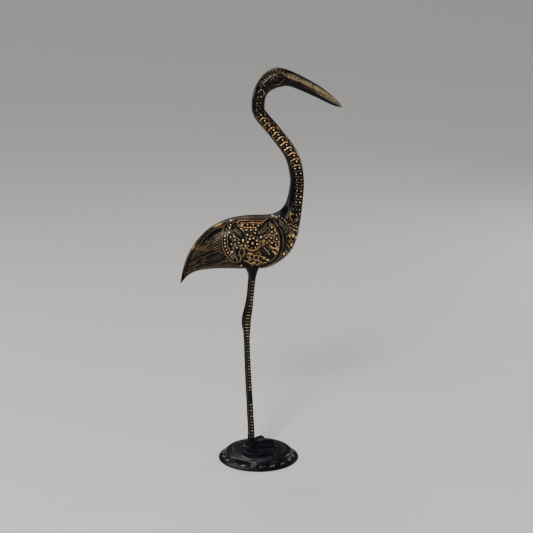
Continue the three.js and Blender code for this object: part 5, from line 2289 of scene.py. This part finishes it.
@dataclass
class Studio:
    """Camera, pale floor and soft lights."""

    camera_at: Triple = (-0.2476, -1.4794, 0.615)
    camera_to: Triple = (0.009436, 0.0, 0.227615)
    sensor: float = 36.0
    lens: float = 93.34
    floor_half: float = 14.0
    floor_colour: Colour = (0.84, 0.82, 0.78, 1.0)
    lights: tuple[tuple[str, Triple, float, float], ...] = (
        ("key", (-0.75, -1.5, 1.35), 0.5, 26.0), ("fill", (1.3, -1.2, 0.9), 0.5, 4.0),
        ("left_rim", (-1.4, 0.6, 0.7), 0.4, 6.0), ("right_rim", (1.4, 0.8, 0.6), 0.4, 6.0),
    )
    lit_middle: Triple = (0.0, 0.0, 0.25)
    daylight: float = 1.1
    daylight_angle: float = 35.0
    daylight_tilt: Triple = (-32.0, -10.0, 0.0)
    world: float = 0.12
    world_colour: Colour = (0.80, 0.82, 0.85, 1.0)

    @staticmethod
    def aimed(data: bpy.types.ID, at: Triple, to: Triple) -> Piece:
        """Puts a camera or a light in the scene, turned towards a place.

        Args:
            data: the camera or the light.
            at: where it stands, in metres.
            to: where it looks.

        Returns:
            Its object.
        """
        made = bpy.data.objects.new(data.name, data)
        made.location = at
        made.rotation_euler = (Vector(to) - Vector(at)).to_track_quat("-Z", "Y").to_euler()
        bpy.context.scene.collection.objects.link(made)
        return made

    def camera(self) -> None:
        """Sets the camera at the photograph's angle."""
        data = bpy.data.cameras.new("camera")
        data.sensor_width = self.sensor
        data.lens = self.lens
        bpy.context.scene.camera = self.aimed(data, self.camera_at, self.camera_to)

    def floor(self) -> None:
        """Lays the pale floor under the foot."""
        half = self.floor_half
        mesh = bpy.data.meshes.new("floor")
        corners = [(-half, -half, 0), (half, -half, 0), (half, half, 0), (-half, half, 0)]
        mesh.from_pydata(corners, [], [(0, 1, 2, 3)])
        paint = bpy.data.materials.new("pale_floor")
        paint.use_nodes = True
        shader = paint.node_tree.nodes["Principled BSDF"]
        Tree(paint.node_tree).fill(shader, {"Base Color": self.floor_colour, "Roughness": 0.7})
        placed("floor", mesh, paint)

    def lamps(self) -> None:
        """Hangs the soft lights and lets in broad daylight."""
        for name, at, size, power in self.lights:
            data = bpy.data.lights.new(name, "AREA")
            data.shape = "DISK"
            data.size = size
            data.energy = power
            self.aimed(data, at, self.lit_middle)
        data = bpy.data.lights.new("daylight", "SUN")
        data.energy = self.daylight
        data.angle = math.radians(self.daylight_angle)
        made = bpy.data.objects.new("daylight", data)
        made.rotation_euler = [math.radians(degrees) for degrees in self.daylight_tilt]
        bpy.context.scene.collection.objects.link(made)

    def sky(self) -> None:
        """Fills the world with even light."""
        world = bpy.data.worlds.new("studio")
        world.use_nodes = True
        tree = Tree(world.node_tree)
        tree.fill(tree.nodes.nodes["Background"], {"Color": self.world_colour, "Strength": self.world})
        bpy.context.scene.world = world

    def build(self) -> None:
        """Sets up the whole studio."""
        for work in (self.camera, self.floor, self.lamps, self.sky):
            work()


def main() -> None:
    """Builds the studio, the round foot, the legs and the bird, and reports each piece."""
    logging.basicConfig(level=logging.INFO, format="%(message)s")
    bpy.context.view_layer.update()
    Studio().build()
    wear, colours = worn_gilding(), brass_colours()
    chased = CHASED_BRASS.material(wear, colours)
    blackened = BLACKENED_BRASS.material(wear, colours)
    foot = RoundFoot(blackened).build()
    bird = Legs(chased).build() + Crane(chased).build()
    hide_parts("crane")
    for slot, pieces in (("blackened_brass", foot), ("chased_brass", bird)):
        for piece in pieces:
            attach(piece, "root")
            LOG.info("%s: %d faces", piece.name, len(piece.data.polygons))


if __name__ == "__main__":
    main()
